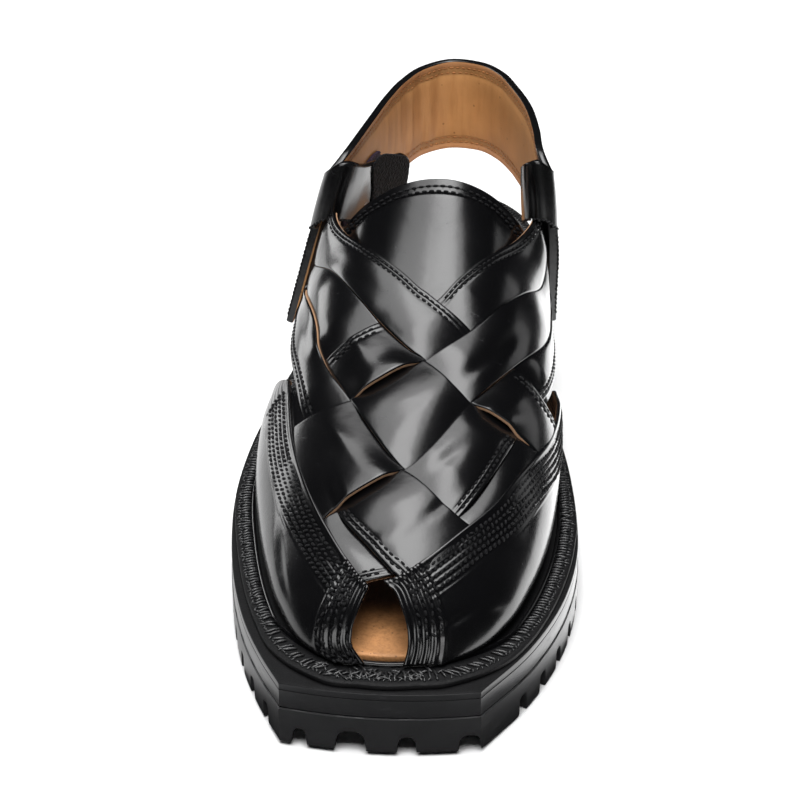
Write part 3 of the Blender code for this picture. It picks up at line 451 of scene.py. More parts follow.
def stack_mesh(name, stack, marks=None, finishes=(), numbers=None, ring=False, sharp=None,
               zipped=False):
    """Closed loops (stations, loop points, 3) joined in order. An open stack is capped by fans
    to the mean of its end loops, or zipped across them, point i to its twin from the end; a
    ring joins its last loop to its first. marks is one finish number per loop edge or per
    station and loop edge."""
    count, around = stack.shape[:2]
    index = np.arange(count * around).reshape(count, around)
    after = np.roll(index, -1, axis=1)
    low, high, low2, high2 = index[:-1], index[1:], after[:-1], after[1:]
    if ring:
        low, high, low2, high2 = (index, np.roll(index, -1, axis=0),
                                  after, np.roll(after, -1, axis=0))
    faces = np.stack([low, low2, high2, high], -1).reshape(-1, 4).tolist()
    tags = np.broadcast_to(0 if marks is None else marks, low.shape).ravel().tolist()
    points = stack.reshape(-1, 3)
    numbers = {k: np.broadcast_to(v, index.shape).ravel() for k, v in (numbers or {}).items()}
    if zipped:
        k = np.arange(around // 2 - 1)
        for end in (index[0], index[-1]):
            faces += np.stack([end[k], end[k + 1], end[around - 2 - k], end[around - 1 - k]],
                              -1).tolist()
        tags += [tags[-around]] * (2 * len(k))
    elif not ring:
        numbers = {k: np.r_[v, v[:around].mean(), v[-around:].mean()]
                   for k, v in numbers.items()}
        for end in (0, -1):
            fan = np.full(around, len(points))
            points = np.vstack([points, stack[end].mean(0)])
            faces += np.stack([index[end], after[end], fan], -1).tolist()
        tags += [tags[0]] * (2 * around)
    obj = put_mesh(name, points, faces, tags, finishes, numbers)
    if sharp:
        obj.data.set_sharp_from_angle(angle=math.radians(sharp))
    return obj


def disc_mesh(name, edge, middle, shares, place, upside, underside, wall, finishes, marks,
              sharp=None):
    """Solid over a star-shaped chart outline. Rings run from the middle out to the edge over the
    upper face, down the wall and back to the middle under it. wall lists (bulge, share down),
    marks the finish of the upper face, of each step of the wall, and of the underside."""
    chart = middle + (edge[None] - middle) * np.asarray(shares, float)[:, None, None]
    top, low = place(chart, upside(chart)), place(chart, underside(chart))
    out = unit(top[-1] - top[-2])
    rows = [top[-1] * (1 - d) + low[-1] * d + out * b for b, d in wall]
    tags = np.repeat([marks[0], *marks[1], marks[2]],
                     [len(shares) - 1] + [1] * len(marks[1]) + [len(shares) - 1])
    return stack_mesh(name, np.concatenate([top, rows, low[::-1]]), tags[:, None], finishes,
                      sharp=sharp)


def level(height):
    """A face at one height over its whole chart."""
    return lambda chart: np.full(chart.shape[:-1], float(height))


def over_sole(base):
    """A way to place plan pairs at x, y and the sole's top plus base and lift."""
    def place(chart, lift):
        x, y = chart[..., 0], chart[..., 1]
        return np.stack([x, y, sole_top(y) + base + lift], -1)
    return place


def stitch_mesh(name, rows, finish, sides=6):
    """Many short threads in one piece. rows lists (middle, direction, up, length, radius)
    arrays; each thread is a capsule of rings, by their place along it, bow and radius."""
    middle, way, up, long, thick = (np.concatenate([row[k] for row in rows]) for k in range(5))
    way = unit(way)
    up = unit(up - way * (up * way).sum(1, keepdims=True))
    along, bow, swell = np.array([(-0.5, 0.0, 0.35), (-0.36, 0.0, 0.85), (0.0, 0.28, 1.0),
                                  (0.36, 0.0, 0.85), (0.5, 0.0, 0.35)]).T[:, None, :, None, None]
    turn = (np.arange(sides) / sides * 2 * math.pi)[None, None, :, None]
    side = np.cross(way, up)[:, None, None]
    middle, way, up = middle[:, None, None], way[:, None, None], up[:, None, None]
    long, thick = long[:, None, None, None], thick[:, None, None, None]
    across = side * np.cos(turn) + up * np.sin(turn)
    points = middle + way * (along * long) + up * (bow * thick) + across * (swell * thick)
    n, k = points.shape[:2]
    index = np.arange(n * k * sides).reshape(n, k, sides)
    after = np.roll(index, -1, axis=2)
    quads = np.stack([index[:, :-1], after[:, :-1], after[:, 1:], index[:, 1:]], -1)
    caps = np.concatenate([index[:, 0, ::-1], index[:, -1]])
    return put_mesh(name, points.reshape(-1, 3), quads.reshape(-1, 4).tolist() + caps.tolist(),
                    None, [finish])


def plain_stitch():
    """Pitch, length and radius of the stitches on the strips and the tongue."""
    return {"pitch": size("stitch_pitch"), "length": 1.75, "radius": size("stitch_thick")}


def stitch_row(path, normal, pitch, length, radius, sink=0.35, turn=0.0, shake=0.0, seed=1):
    """Threads along a dense path of space points: one every pitch, each turned from the path by
    `turn` radians in the face, with seeded jitter of shake radians, sunk by part of a radius."""
    end = lengths(path)[-1]
    count = max(1, int((end - pitch) / pitch))
    at = (end - (count - 1) * pitch) / 2 + np.arange(count) * pitch
    middle = walk(path, at)
    way = unit(walk(path, np.minimum(at + 0.2, end)) - walk(path, np.maximum(at - 0.2, 0.0)))
    up = unit(walk(normal, at, by=path))
    rng = np.random.default_rng(seed)
    angle = (turn + shake * rng.standard_normal(count))[:, None]
    way = way * np.cos(angle) + np.cross(up, way) * np.sin(angle)
    thick = radius * (1 + 0.08 * rng.standard_normal(count))
    return (middle + up * (radius * (1 - sink) - radius * 0.4), way, up,
            np.full(count, float(length)), thick)


# ---- surfaces of the woven upper --------------------------------------------------------------
EDGE_MM = (0.5, 1.0, 1.5, 2.0, 2.5, 3.0, 3.5, 4.0, 4.6, 5.4)  # rows near a strip's edges
# Round edge of a strip from its face down: out from the edge, depth, both millimetres.
STRIP_EDGE = ((-0.16, 0.06), (-0.03, 0.24), (0.0, 0.55), (0.0, 1.30), (-0.03, 1.62),
              (-0.16, 1.90))
TAN_EDGE_FROM = 3  # step of the edge where the dyed part ends and the raw tan begins
STRIP_THICK = 2.0
STRIP_DIP = 1.3  # how deep a strip dives under a crossing
# Soft troughs and ridges: around and along of the middle, half length, half width, turn, height.
CREASES = (
    (47.7, 16.4, 9, 2.6, 0.6, -0.45), (64, 25, 7, 2.2, 0.3, 0.35), (-68, 39.3, 12, 3.5, 1.3, -0.4),
    (-2.9, 117.6, 10, 3, -0.9, -0.35), (21.7, 111.7, 9, 2.6, 0.8, -0.4),
    (13.6, 72.9, 8, 2.8, 0.9, -0.35), (-25.7, 81.3, 9, 3, -0.8, 0.3),
    (-4.6, 41.2, 7, 2.5, 0.7, 0.3), (33.9, 125.4, 10, 2.8, 0.9, -0.4),
    (-21.2, 118.7, 8, 2.6, -1, 0.3), (14.4, 55.2, 8, 2.4, 0.9, -0.3),
    (-37.7, 128.1, 9, 2.6, -0.9, -0.35),
)
EAR_LIFT = 0.7  # height of the strips' ends inside the strap's folds
STITCH_AT = (2.0, 4.0)  # stitch rows from a stitched edge
# Strips: letter, index of the first edge, stitched edges.
STRIPS = {
    "strip_a_upper": ("a", 0, (0,)), "strip_a_middle": ("a", 1, ()),
    "strip_a_lower": ("a", 2, (1,)), "strip_b_upper": ("b", 0, (0,)),
    "strip_b_middle": ("b", 1, ()), "strip_b_lower": ("b", 2, (1,)),
}
# Curled edges: strip, edge, cell, height in millimetres.
CURLS = {
    "strip_b_upper": ((1, 2, 1.6),), "strip_b_middle": ((1, 3, 1.6),),
    "strip_a_upper": ((1, 3, 1.5), (1, 0, 0.5)), "strip_a_lower": ((0, 0, 1.2),),
}


def creases(chart):
    """Sum of the creases at chart points: height exp(-(u / length)^2 - (v / width)^2) with u
    and v measured along and across each turned line."""
    lift = np.zeros(chart.shape[:-1])
    for around, along, length, width, turn, height in CREASES:
        x, y = chart[..., 0] - around * AROUND, chart[..., 1] - along
        u = x * math.cos(turn) + y * math.sin(turn)
        v = y * math.cos(turn) - x * math.sin(turn)
        lift = lift + height * bell(u, 0.0, length) * bell(v, 0.0, width)
    return lift * size("crease")


def crossing(letter, number, chart):
    """For chart points of a strip: the cell they lie in (crossed edges above them), whether the
    strip runs over there, and the distances to the nearest edge at which it changes and to the
    nearest edge of all."""
    own = "ab".index(letter)
    others = [rail(pairs, 120) for pairs in (B_EDGES, A_EDGES)[own]]
    x, y = chart[..., 0], chart[..., 1]
    cell = sum((y < np.interp(x, line[:, 0], line[:, 1])).astype(int) for line in others)
    over = np.array([k in (0, 4) or (k + number + own) % 2 == 0 for k in range(5)])
    each = [distance(chart, line[::3]) for line in others]
    near = np.min([each[k] for k in range(4) if over[k] != over[k + 1]], axis=0)
    return cell, over[cell], near, np.min(each, axis=0)


def strip_lift(name, chart, share, width):
    """Height of a strip: low + rise sin(90 deg near / ramp) where it runs over and low - dip
    sin(90 deg near / 6) where it dives, plus a crown 1 - (2v - 1)^2, ridges beside its stitch
    rows, and the curl of some edges. Also whether it runs over, and the distance to a dive."""
    letter, first, seams = STRIPS[name]
    cell, over, near, inside = crossing(letter, first + 1, chart)
    ramp = np.clip(near / STRIP_RAMP, 0, 1)
    dive = np.sin(np.clip(near / 6.0, 0, 1) * math.pi / 2)
    lift = np.where(over, STRIP_LOW + STRIP_RISE * np.sin(ramp * math.pi / 2),
                    STRIP_LOW - STRIP_DIP * dive)
    crown = size("crown") * (1 - (2 * share - 1) ** 2) + creases(chart)
    lift = lift + crown * np.where(over, ramp, 0.0)
    for edge in seams:
        off = (share if edge == 0 else 1 - share) * width
        seam = 0.22 * bell(off, 3.0, 0.6) + 0.12 * bell(off, 0.9, 0.6)
        seam -= 0.16 * (bell(off, STITCH_AT[0], 0.5) + bell(off, STITCH_AT[1], 0.5))
        lift = lift + seam * np.clip(near / 3.0, 0, 1)
    held = ease(chart[..., 1], 188.0, 200.0)
    lift = lift * (1 - held) + EAR_LIFT * held
    for edge, where, height in CURLS.get(name, ()):
        v = 1 - share if edge == 0 else share
        here = size("curl") * height * ease(inside, 0.0, 7.0) * (cell == where)
        lift = lift + here * ease(v, 0.5, 1.02) ** 1.4
    return lift, over, near


def strip_chart(name, stations):
    """Chart edges of a strip at its stations and its real width there."""
    letter, first, _ = STRIPS[name]
    table = A_EDGES if letter == "a" else B_EDGES
    one, two = rail(table[first], stations), rail(table[first + 1], stations)
    v = np.linspace(0, 1, 13)[None, :, None]
    cross = on_upper(one[:, None] * (1 - v) + two[:, None] * v)
    return one, two, np.linalg.norm(np.diff(cross, axis=1), axis=-1).sum(1)


def make_strip(name, finishes, stations=170):
    """Closed loops across a strip, carried along it: its face between the two edge rails, round
    edges with black edge dye above and raw tan below, and its tan back."""
    one, two, width = strip_chart(name, stations)
    w = width[:, None]
    out, deep = np.array(STRIP_EDGE).T
    margin = np.array(EDGE_MM) * np.minimum(1.0, w / 16.0) / w
    shell = margin[:, -1:]
    ones = np.ones((stations, 1))
    inner, back = np.linspace(0.05, 0.95, 13), np.linspace(0.95, 0.05, 9)
    face = 2 * len(EDGE_MM) + len(inner)
    share = np.hstack([margin, shell + (1 - 2 * shell) * inner, 1 - margin[:, ::-1],
                       1 + out / w * ones, ones * back, -out[::-1] / w * ones])
    depth = np.r_[np.zeros(face), deep, np.full(len(back), STRIP_THICK), deep[::-1]]
    chart = one[:, None] * (1 - share[..., None]) + two[:, None] * share[..., None]
    stack = on_upper(chart, strip_lift(name, chart, np.clip(share, 0, 1), w)[0] - depth)
    curled = {edge for edge, _, _ in CURLS.get(name, ())}
    far, close = (TAN_EDGE_FROM - (edge in curled) for edge in (1, 0))
    marks = np.zeros(len(depth), int)
    marks[face + far:len(depth) - 1 - close] = 1
    return stack_mesh(name, stack, marks, finishes)


def strip_stitches(name, stations=400):
    """Two stitch rows along a stitched edge, wherever the strip runs over."""
    rows = []
    one, two, width = strip_chart(name, stations)
    for edge, off in itertools.product(STRIPS[name][2], STITCH_AT):
        share = off / width if edge == 0 else 1 - off / width
        chart = one * (1 - share[:, None]) + two * share[:, None]
        lift, over, near = strip_lift(name, chart, share, width)
        shown = over & (near > 0.8)
        turns = np.flatnonzero(np.diff(shown.astype(int))) + 1
        for part in np.split(np.arange(stations), turns):
            if len(part) >= 8 and shown[part[0]]:
                rows.append(stitch_row(on_upper(chart[part], lift[part]),
                                       up_from_upper(chart[part]), **plain_stitch(),
                                       seed=len(rows) + 3, shake=0.05))
    return rows


# ---- wings -------------------------------------------------------------------------------------
WING_LIFT = 2.6
WING_THICK = 1.7
WING_ROWS = (3.0, 5.0, 7.0, 9.0, 11.0)  # stitch rows from a wing's upper edge
PLEAT_PITCH = 2.7
PLEAT_REACH = 14.0  # how far the pleats run from the peep edge
WING_RIM = ((0.30, 0.12), (0.42, 0.4), (0.42, 0.6), (0.30, 0.88))  # beyond the rim, share down
WING_DYED = 60  # stations from the rear whose back is black too


def rail_at(pairs, shares):
    """Chart points of a rail at shares of its length."""
    dense = rail(pairs, 400)
    dist = lengths(dense)
    return walk(dense, np.asarray(shares) * dist[-1])


def wing_chart(wing, along, up):
    """Coons patch in the chart: foot and top blended by `up`, rear and peep edges by `along`,
    less the bilinear blend of the four corners."""
    foot, top = (rail_at(wing[side], along)[:, None] for side in ("foot", "top"))
    rear, front = (rail_at(wing[side], up)[None] for side in ("rear", "peep"))
    s, t = along[:, None, None], up[None, :, None]
    corners = ((1 - s) * (1 - t) * foot[:1] + s * (1 - t) * foot[-1:]
               + (1 - s) * t * top[:1] + s * t * top[-1:])
    return (1 - t) * foot + t * top + (1 - s) * rear + s * front - corners


def nearest(points, curve):
    """Distance of space points to a space polyline's points."""
    flat = points.reshape(-1, 3)
    near = np.full(len(flat), 1e9)
    for p in curve:
        near = np.minimum(near, ((flat - p) ** 2).sum(1))
    return np.sqrt(near).reshape(points.shape[:-1])


def wing_lift(wing, chart):
    """Wing height: full over the strips, thinning into the welt over the last millimetres; a
    rolled rim along the upper edge, rope-like pleats cos(2 pi d / pitch) beside the peep toe."""
    flat = on_upper(chart)
    top, peep, rear = (nearest(flat, on_upper(rail_at(wing[side], np.linspace(0, 1, count))))
                       for side, count in (("top", 160), ("peep", 160), ("rear", 60)))
    fade = np.clip((100 * AROUND - np.abs(chart[..., 0])) / WING_FADE, 0, 1)
    body = np.sin(fade * math.pi / 2) * (0.55 + 0.45 * ease(rear, 0.0, 12.0))
    lift = STRIP_LOW + (WING_LIFT - STRIP_LOW) * body
    lift = lift + 0.30 * bell(top, 0.8, 0.9) * body
    band = ease(top, 1.6, 2.6) * (1 - ease(top, 11.8, 13.0)) * ease(peep, 7.0, 12.0)
    lift = lift + 0.08 * band * np.cos((top - 4.0) * math.pi) * body
    lift = lift + creases(chart) * body
    folds = size("pleat") * np.cos(peep / PLEAT_PITCH * 2 * math.pi) + 0.35
    lift = lift + folds * (1 - ease(peep, PLEAT_REACH - 5, PLEAT_REACH))
    return lift, top, peep


def round_end(loop, inner):
    """Four loops that round off the end of a sheet past its last loop: each point swings from
    the face to the sheet's middle, half the thickness ahead, by cos(a) and sin(a)."""
    spine = (loop + loop[::-1]) / 2
    ahead = spine - (inner + inner[::-1]) / 2
    ahead /= np.maximum(np.linalg.norm(ahead, axis=-1, keepdims=True), 1e-6)
    half = np.linalg.norm(loop - spine, axis=-1, keepdims=True)
    return [spine + (loop - spine) * math.cos(a) + ahead * half * math.sin(a)
            for a in (0.4, 0.8, 1.15, 1.4)]


def make_wing(name, wing, finishes):
    """Closed loops from the foot over the face to the upper edge and back under, carried from
    the rear to the peep toe and rounded off at both ends."""
    along = np.r_[np.linspace(0, 0.80, 90), np.linspace(0.80, 1.0, 62)[1:]]
    up = np.r_[np.linspace(0.0, 0.62, 34), np.linspace(0.62, 0.985, 50)[1:], 0.994]
    chart = wing_chart(wing, along, up)
    rim = chart[:, -1:]
    beyond = rim - chart[:, -4:-3]
    beyond /= np.maximum(np.linalg.norm(beyond, axis=-1, keepdims=True), 1e-6)
    lift = wing_lift(wing, chart)[0]
    low = np.clip(lift - WING_THICK, -0.4, None)
    arc_chart = np.concatenate([rim + beyond * b for b, _ in WING_RIM], 1)
    arc_lift = np.concatenate([lift[:, -1:] * (1 - d) + low[:, -1:] * d for _, d in WING_RIM], 1)
    loops = np.concatenate([on_upper(chart, lift), on_upper(arc_chart, arc_lift),
                            on_upper(chart, low)[:, ::-1]], 1)
    stack = np.concatenate([round_end(loops[0], loops[2])[::-1], loops,
                            round_end(loops[-1], loops[-3])])
    stack[..., 2] = np.maximum(stack[..., 2], sole_top(stack[..., 1]) + WELT_THICK + GAP)
    marks = np.zeros((len(stack) - 1, stack.shape[1]), int)
    marks[WING_DYED:, len(up) + 3:-1] = 1
    if not wing["tan_peep"]:
        marks[-5:] = 0
    return stack_mesh(name, stack, marks, finishes, zipped=True)


def chart_normals(line, closing, towards):
    """Chart normals of a line, closed by more points, turned towards others; and the length in
    space of one step along each."""
    normal = outward(np.vstack([line, *closing]))[:len(line)]
    normal *= np.sign((normal * towards).sum(1, keepdims=True))
    normal = unit(normal)
    return normal, np.linalg.norm(on_upper(line + normal) - on_upper(line), axis=1, keepdims=True)


def wing_stitches(wing):
    """Parallel stitch rows under the upper edge of a wing and between the pleats' ends."""
    rows = []
    t = np.linspace(0.02, 0.985, 300)
    top = rail_at(wing["top"], t)
    inward = unit(rail_at(wing["foot"], t) - top)
    normal, scale = chart_normals(top, (top[-1:] + inward[-1:], top[:1] + inward[:1]), inward)
    for k, off in enumerate(WING_ROWS):
        chart = top + normal * off / scale
        lift, _, peep = wing_lift(wing, chart)
        keep = (peep > 3.5) & (np.abs(chart[:, 0]) < 92 * AROUND)
        rows.append(stitch_row(on_upper(chart[keep], lift[keep]), up_from_upper(chart[keep]),
                               2.2, 1.75, 0.50, turn=0.45, shake=0.34, seed=40 + k))
    peep = rail_at(wing["peep"], np.linspace(0.10, 0.93, 120))
    aside = (40.0, 0.0)
    away, scale = chart_normals(peep, (peep[-1:] + aside, peep[:1] + aside),
                                rail_at(wing["foot"], np.array([0.5])) - peep)
    for k in range(1, 5):
        chart = peep + away * (k + 0.5) * PLEAT_PITCH / scale
        lift, top, _ = wing_lift(wing, chart)
        keep = top > 3.0
        rows.append(stitch_row(on_upper(chart[keep], lift[keep]), up_from_upper(chart[keep]),
                               2.6, 1.7, 0.44, turn=0.15, shake=0.3, seed=50 + k))
    return rows


# ---- tongue, heel strap, insole, sole and welt --------------------------------------------------
DISC_SHARES = np.r_[np.linspace(0.04, 0.8, 26), np.linspace(0.8, 0.985, 18)[1:], 1.0]
ROUND_WALL = ((0.16, 0.08), (0.28, 0.25), (0.32, 0.5), (0.28, 0.75), (0.16, 0.92))
DYED_ABOVE = (0, (0, 0, 0, 1, 1, 1), 1)  # first finish above, second below
ONE_FINISH = (0, (0,) * 6, 0)
TONGUE_SEAMS = (2.6, 4.6)  # stitch rows from the tongue's edge


def tongue_outline():
    """Chart outline of the tongue, around in millimetres and y."""
    return through(np.array(TONGUE_EDGE) * (TONGUE_AROUND, 1.0), 12, True)


def tongue_face(chart):
    """Tongue height: a soft vertical trough beside a broad crown, a rim and stitch grooves."""
    x, y = chart[..., 0], chart[..., 1]
    lift = -2.5 * bell(x, -7.0, 20.0) - 0.55 * bell(x, 29.0, 3.5) * ease(y, -25, 0)
    lift = lift - 0.35 * bell(x, -22.0, 4.0) * ease(y, -25, 0)
    near = distance(chart, np.vstack([tongue_outline()[::4], tongue_outline()[:1]]))
    seam = 0.15 * bell(near, 3.6, 0.6)
    seam -= 0.18 * (bell(near, TONGUE_SEAMS[0], 0.5) + bell(near, TONGUE_SEAMS[1], 0.5))
    return lift * 0.8 + seam * ease(y, 5, 15)


def make_tongue(finishes):
    """The tongue over its outline, black above and raw tan below."""
    return disc_mesh("tongue_leather", tongue_outline(), np.array([0.0, 2.0]), DISC_SHARES,
                     on_tongue, tongue_face, lambda c: tongue_face(c) - TONGUE_THICK, ROUND_WALL,
                     finishes, DYED_ABOVE)


def tongue_stitches():
    """Two stitch rows inside the tongue's free edge."""
    edge = tongue_outline()
    rows = []
    n = unit(outward(edge))
    scale = np.linalg.norm(on_tongue(edge - n) - on_tongue(edge), axis=1)
    for k, off in enumerate(TONGUE_SEAMS):
        chart = (edge - n * (off / scale)[:, None])[edge[:, 1] > 4]
        chart = chart[np.argsort(np.arctan2(chart[:, 0], chart[:, 1] + 30))]
        lift = tongue_face(chart)
        path = on_tongue(chart, lift)
        rows.append(stitch_row(path, path - on_tongue(chart, lift - 1.0), **plain_stitch(),
                               seed=60 + k, shake=0.04))
    return rows


# Rows down a tab, and up from the strap's lower edge.
TAB_STEPS = np.array([0.5, 1.2, 1.9, 2.6, 3.3, 4.0, 4.8, 5.6, 7.0, 9.0, 11.5, 14.0, 16.5, 18.7])
LOW_STEPS = np.array([-8.0, -6.6, -5.6, -4.8, -4.0, -3.3, -2.6, -1.9, -1.2, -0.5])
STRAP_SEAMS = (3.0, 5.0)  # stitch rows from the strap's edges
# Soft folds at the back of the heel: run, width, depth on the lining, lean.
WRINKLES = (
    (106, 2.2, 0.35, 0.03), (112, 1.8, -0.3, 0.02), (117.5, 2, 0.42, 0),
    (123.5, 1.7, -0.38, -0.01), (128.5, 1.8, 0.45, 0.01), (134, 1.6, -0.4, -0.02),
    (139.5, 2, 0.48, 0), (145.5, 1.7, -0.36, 0.02), (151, 2.2, 0.4, -0.02), (158, 2, -0.3, 0),
    (166, 2.6, 0.3, 0.02), (90, 4, 0.3, -0.03), (182, 3.6, -0.3, 0.03),
)


def strap_reach(run):
    """Upper and lower end of the strap's height at run: corners rounded at the tabs' ends, the
    tab's height outside the front edges and the full height between them."""
    row = np.interp(run, STRAP_RUN, np.arange(len(STRAP_RUN)))
    drop = np.interp(row, *np.transpose(STRAP_DROP))
    full = (row >= FRONT_ROWS[0]) & (row <= FRONT_ROWS[1])
    low = np.where(full, drop, TAB_DROP)
    near = np.minimum(run, STRAP_END - run)
    corner = 5.0 - np.sqrt(np.maximum(25.0 - np.clip(5.0 - near, 0, 5) ** 2, 0.0))
    return corner, low - corner, full


def strap_lift(run, down, lining):
    """Height of the strap's faces over its middle: half its thickness, a soft swell on the
    lining, grooves at its stitch rows and the heel's wrinkles."""
    top, low, full = strap_reach(run)
    deep = np.minimum(down - top, low - down)
    swell = 0.45 * ease(deep, 4.0, 10.0) if lining else 0.2 * ease(deep, 0.0, 8.0)
    seam = 0.30 * (bell(deep, STRAP_SEAMS[0], 0.5) + bell(deep, STRAP_SEAMS[1], 0.5)) * full
    fold = np.zeros_like(np.asarray(down, float))
    for place, width, depth, lean in WRINKLES:
        fold += depth * bell(run + lean * down * 4, place, width)
    fold *= ease(deep, 0.5, 7.0) * (1.0 if lining else -0.6) * size("wrinkle")
    return STRAP_HALF + swell - seam + fold


def make_strap(finishes):
    """Closed loops across the strap, carried from one tab's end round the heel to the other."""
    end, (front, far_front) = STRAP_END, STRAP_FRONTS
    run = np.unique(np.r_[np.linspace(0.15, 6, 10), np.linspace(6, end - 6, 250),
                          np.linspace(end - 6, end - 0.15, 10),
                          (STRAP_FRONTS[:, None] + (-0.02, 0.02)).ravel()])
    top, low, full = (part[:, None] for part in strap_reach(run))
    run = run[:, None]
    tab = (TAB_STEPS - TAB_STEPS[0]) / (TAB_STEPS[-1] - TAB_STEPS[0])
    tab_end = np.where(full, TAB_DROP, low - 0.55)
    first = top + 0.5 + (tab_end - top - 0.5) * tab
    mid = TAB_DROP + np.maximum(low - TAB_DROP, 0.0) * np.linspace(0.1, 0.62, 6)
    lower = np.hstack([mid, np.maximum(low + LOW_STEPS, mid[:, -1:] + 0.02 * np.arange(1, 11))])
    lower = np.where(full, np.minimum(lower, low - 0.45), low - 0.5 + np.linspace(-0.04, 0, 16))
    down = np.hstack([first, lower])
    turn = np.array([-0.75, -0.4, 0.0, 0.4, 0.75]) * 1.6
    foot, head = low - 0.5 + 0.5 * np.cos(turn), top + 0.5 - 0.5 * np.cos(turn)
    swing = np.sin(turn) * STRAP_HALF
    stack = np.concatenate([
        strap_point(run, down, -strap_lift(run, down, False)), strap_point(run, foot, swing),
        strap_point(run, down, strap_lift(run, down, True))[:, ::-1],
        strap_point(run, head, -swing)], 1)
    k = down.shape[1]
    marks = np.zeros(stack.shape[1], int)
    marks[k + 4:2 * k + 4] = 1
    depth, none = np.minimum(down - top, low - down), np.zeros((len(run), len(turn)))
    edge = np.hstack([depth, none, depth[:, ::-1], none])
    below = np.hstack([down, foot, down[:, ::-1], head])
    # Painted shade inside the folds: the lining near black by both front edges.
    lateral = ease(run, front + 0.4, front + 1.4) * (1 - ease(run, 66.0, 78.0))
    lateral = np.maximum(lateral, run < front) * ease(below, 6.0, 16.0)
    dyed = np.maximum(lateral, ease(run, far_front - 16.0, far_front - 8.0))
    return stack_mesh("heel_strap_leather", stack, marks, finishes,
                      {"edge_mm": edge, "run_mm": run, "dyed": dyed}, sharp=50)


def strap_seams(lining):
    """Two stitch rows inside the strap's upper and lower edges, on one side of it."""
    run = np.linspace(STRAP_FRONTS[0] + 2, STRAP_FRONTS[1] - 2, 420)
    top, low, _ = strap_reach(run)
    side = 1 if lining else -1
    rows = []
    for k, off in enumerate(STRAP_SEAMS):
        for down in (top + off, low - off):
            lift = strap_lift(run, down, lining) * side
            path = strap_point(run, down, lift)
            rows.append(stitch_row(path, path - strap_point(run, down, lift - side), 2.4, 1.7,
                                   0.36, sink=0.6, seed=70 + k, shake=0.05))
    return rows


def strap_lips():
    """Irregular whipped threads along the strap's front edges and the tabs' lower edges."""
    rows = []
    for at, side, end in zip(STRAP_FRONTS, (-1, 1), (14.0, STRAP_END - 4.0)):
        foot = strap_reach(np.array([at - side * 0.1]))[1][0]
        down, run = np.linspace(TAB_DROP + 1, foot - 1, 60), np.linspace(at, end, 90)
        for path, inner in (
                (strap_point(at, down, -0.9 * STRAP_HALF), strap_point(at - side, down, 0.3)),
                (strap_point(run, TAB_DROP, -0.8 * STRAP_HALF),
                 strap_point(run, TAB_DROP - 1.0, 0.3))):
            rows.append(stitch_row(path, path - inner, 1.7, 1.5, 0.38, turn=0.35, shake=0.35,
                                   seed=80 + len(rows)))
    return rows


def strap_patch(name, outline, side, rise, puff, finishes):
    """Tape lying on the strap inside a smooth outline in the strap's chart, its face fuzzed by
    a sum of six sines."""
    edge = through(outline, 5, True)
    rng = np.random.default_rng(7)
    wave = rng.uniform(0.5, 2.2, (6, 2)) * rng.choice((-1, 1), (6, 2))

    def place(chart, lift):
        """The strap's face on that side, moved out by lift."""
        run, down = chart[..., 0], chart[..., 1]
        base = strap_lift(run, np.maximum(down, 1.5), side > 0) + 0.05
        return strap_point(run, down, side * (base + lift))

    def face(chart):
        """rise + puff times the mean of six sines of the chart."""
        return rise + puff * (sum(np.sin(chart @ w * 1.9 + i) for i, w in enumerate(wave)) / 6)

    return disc_mesh(name, edge, edge.mean(0), np.linspace(0.03, 1, 40), place, face, level(0),
                     ROUND_WALL, finishes, ONE_FINISH)


def make_ear(name, pairs, finishes):
    """Ear at the end of the weave, held in the strap's fold."""
    edge = through(np.array(pairs) * (AROUND, 1.0), 8, True)
    return disc_mesh(name, edge, edge.mean(0), np.linspace(0.05, 1, 14), on_upper,
                     level(EAR_LIFT), level(-1.6), ROUND_WALL, finishes, DYED_ABOVE)


EARS = {
    "ear_lateral": ((-76, 196), (-54, 199.5), (-55, 207.5), (-66, 209.5), (-78, 207), (-87, 197)),
    "ear_medial": ((76, 196), (68, 199.5), (68, 206.5), (73, 209), (80, 207), (87, 197)),
}


def make_insole(finishes):
    """Footbed: the foot line drawn in, cupped (1 - d / 14)^2 round the heel and lower at the
    toe, with soft prints of a worn foot."""
    line = foot_line()
    edge = line - outward(line) * 3.4
    closed = np.vstack([edge[::3], edge[:1]])

    def face(chart):
        """Thickness, plus the cup, less the dip at the toe and the two worn prints."""
        x, y = chart[..., 0], chart[..., 1]
        cup = 2.4 * ease(y, 30, 90) * np.clip(1 - distance(chart, closed) / 14, 0, 1) ** 2
        toe = 0.9 * np.clip((-118.0 - y) / 12.0, 0.0, 1.0)
        worn = 0.7 * np.exp(-(x / 20) ** 2 - ((y - 100) / 24) ** 2)
        worn += 0.6 * np.exp(-((x - 4) / 28) ** 2 - ((y + 55) / 26) ** 2)
        return INSOLE_THICK + cup - toe - worn

    return disc_mesh("insole_board", edge, np.zeros(2), DISC_SHARES, over_sole(GAP), face,
                     level(0), ROUND_WALL, finishes, ONE_FINISH)


def make_midsole(finishes):
    """Midsole: the sole outline with a rounded upper edge and a scored line round its side."""
    line = sole_outline()
    shares = np.r_[np.linspace(0.05, 0.9, 12), 0.95, 0.98, 0.99, 1.0]
    return disc_mesh("midsole_rubber", line - outward(line) * 0.55, np.zeros(2), shares,
                     over_sole(-MIDSOLE_THICK), level(MIDSOLE_THICK), level(0), MIDSOLE_WALL,
                     finishes, (1, (1, 1) + (0,) * 10, 0), sharp=40)


def outsole_top(y):
    """Height of the outsole's top face at y."""
    return sole_top(y) - MIDSOLE_THICK - GAP


def tread(y):
    """Height of the tread over the floor at y."""
    return np.maximum(smooth(y, SOLE_ROWS, 1), 0.0)


def waist(y):
    """1 in the raised waist, 0 before and behind it."""
    return ease(y, ARCH[0] - 2, ARCH[0] + 1.5) * (1 - ease(y, ARCH[1] - 1.5, ARCH[1] + 2))


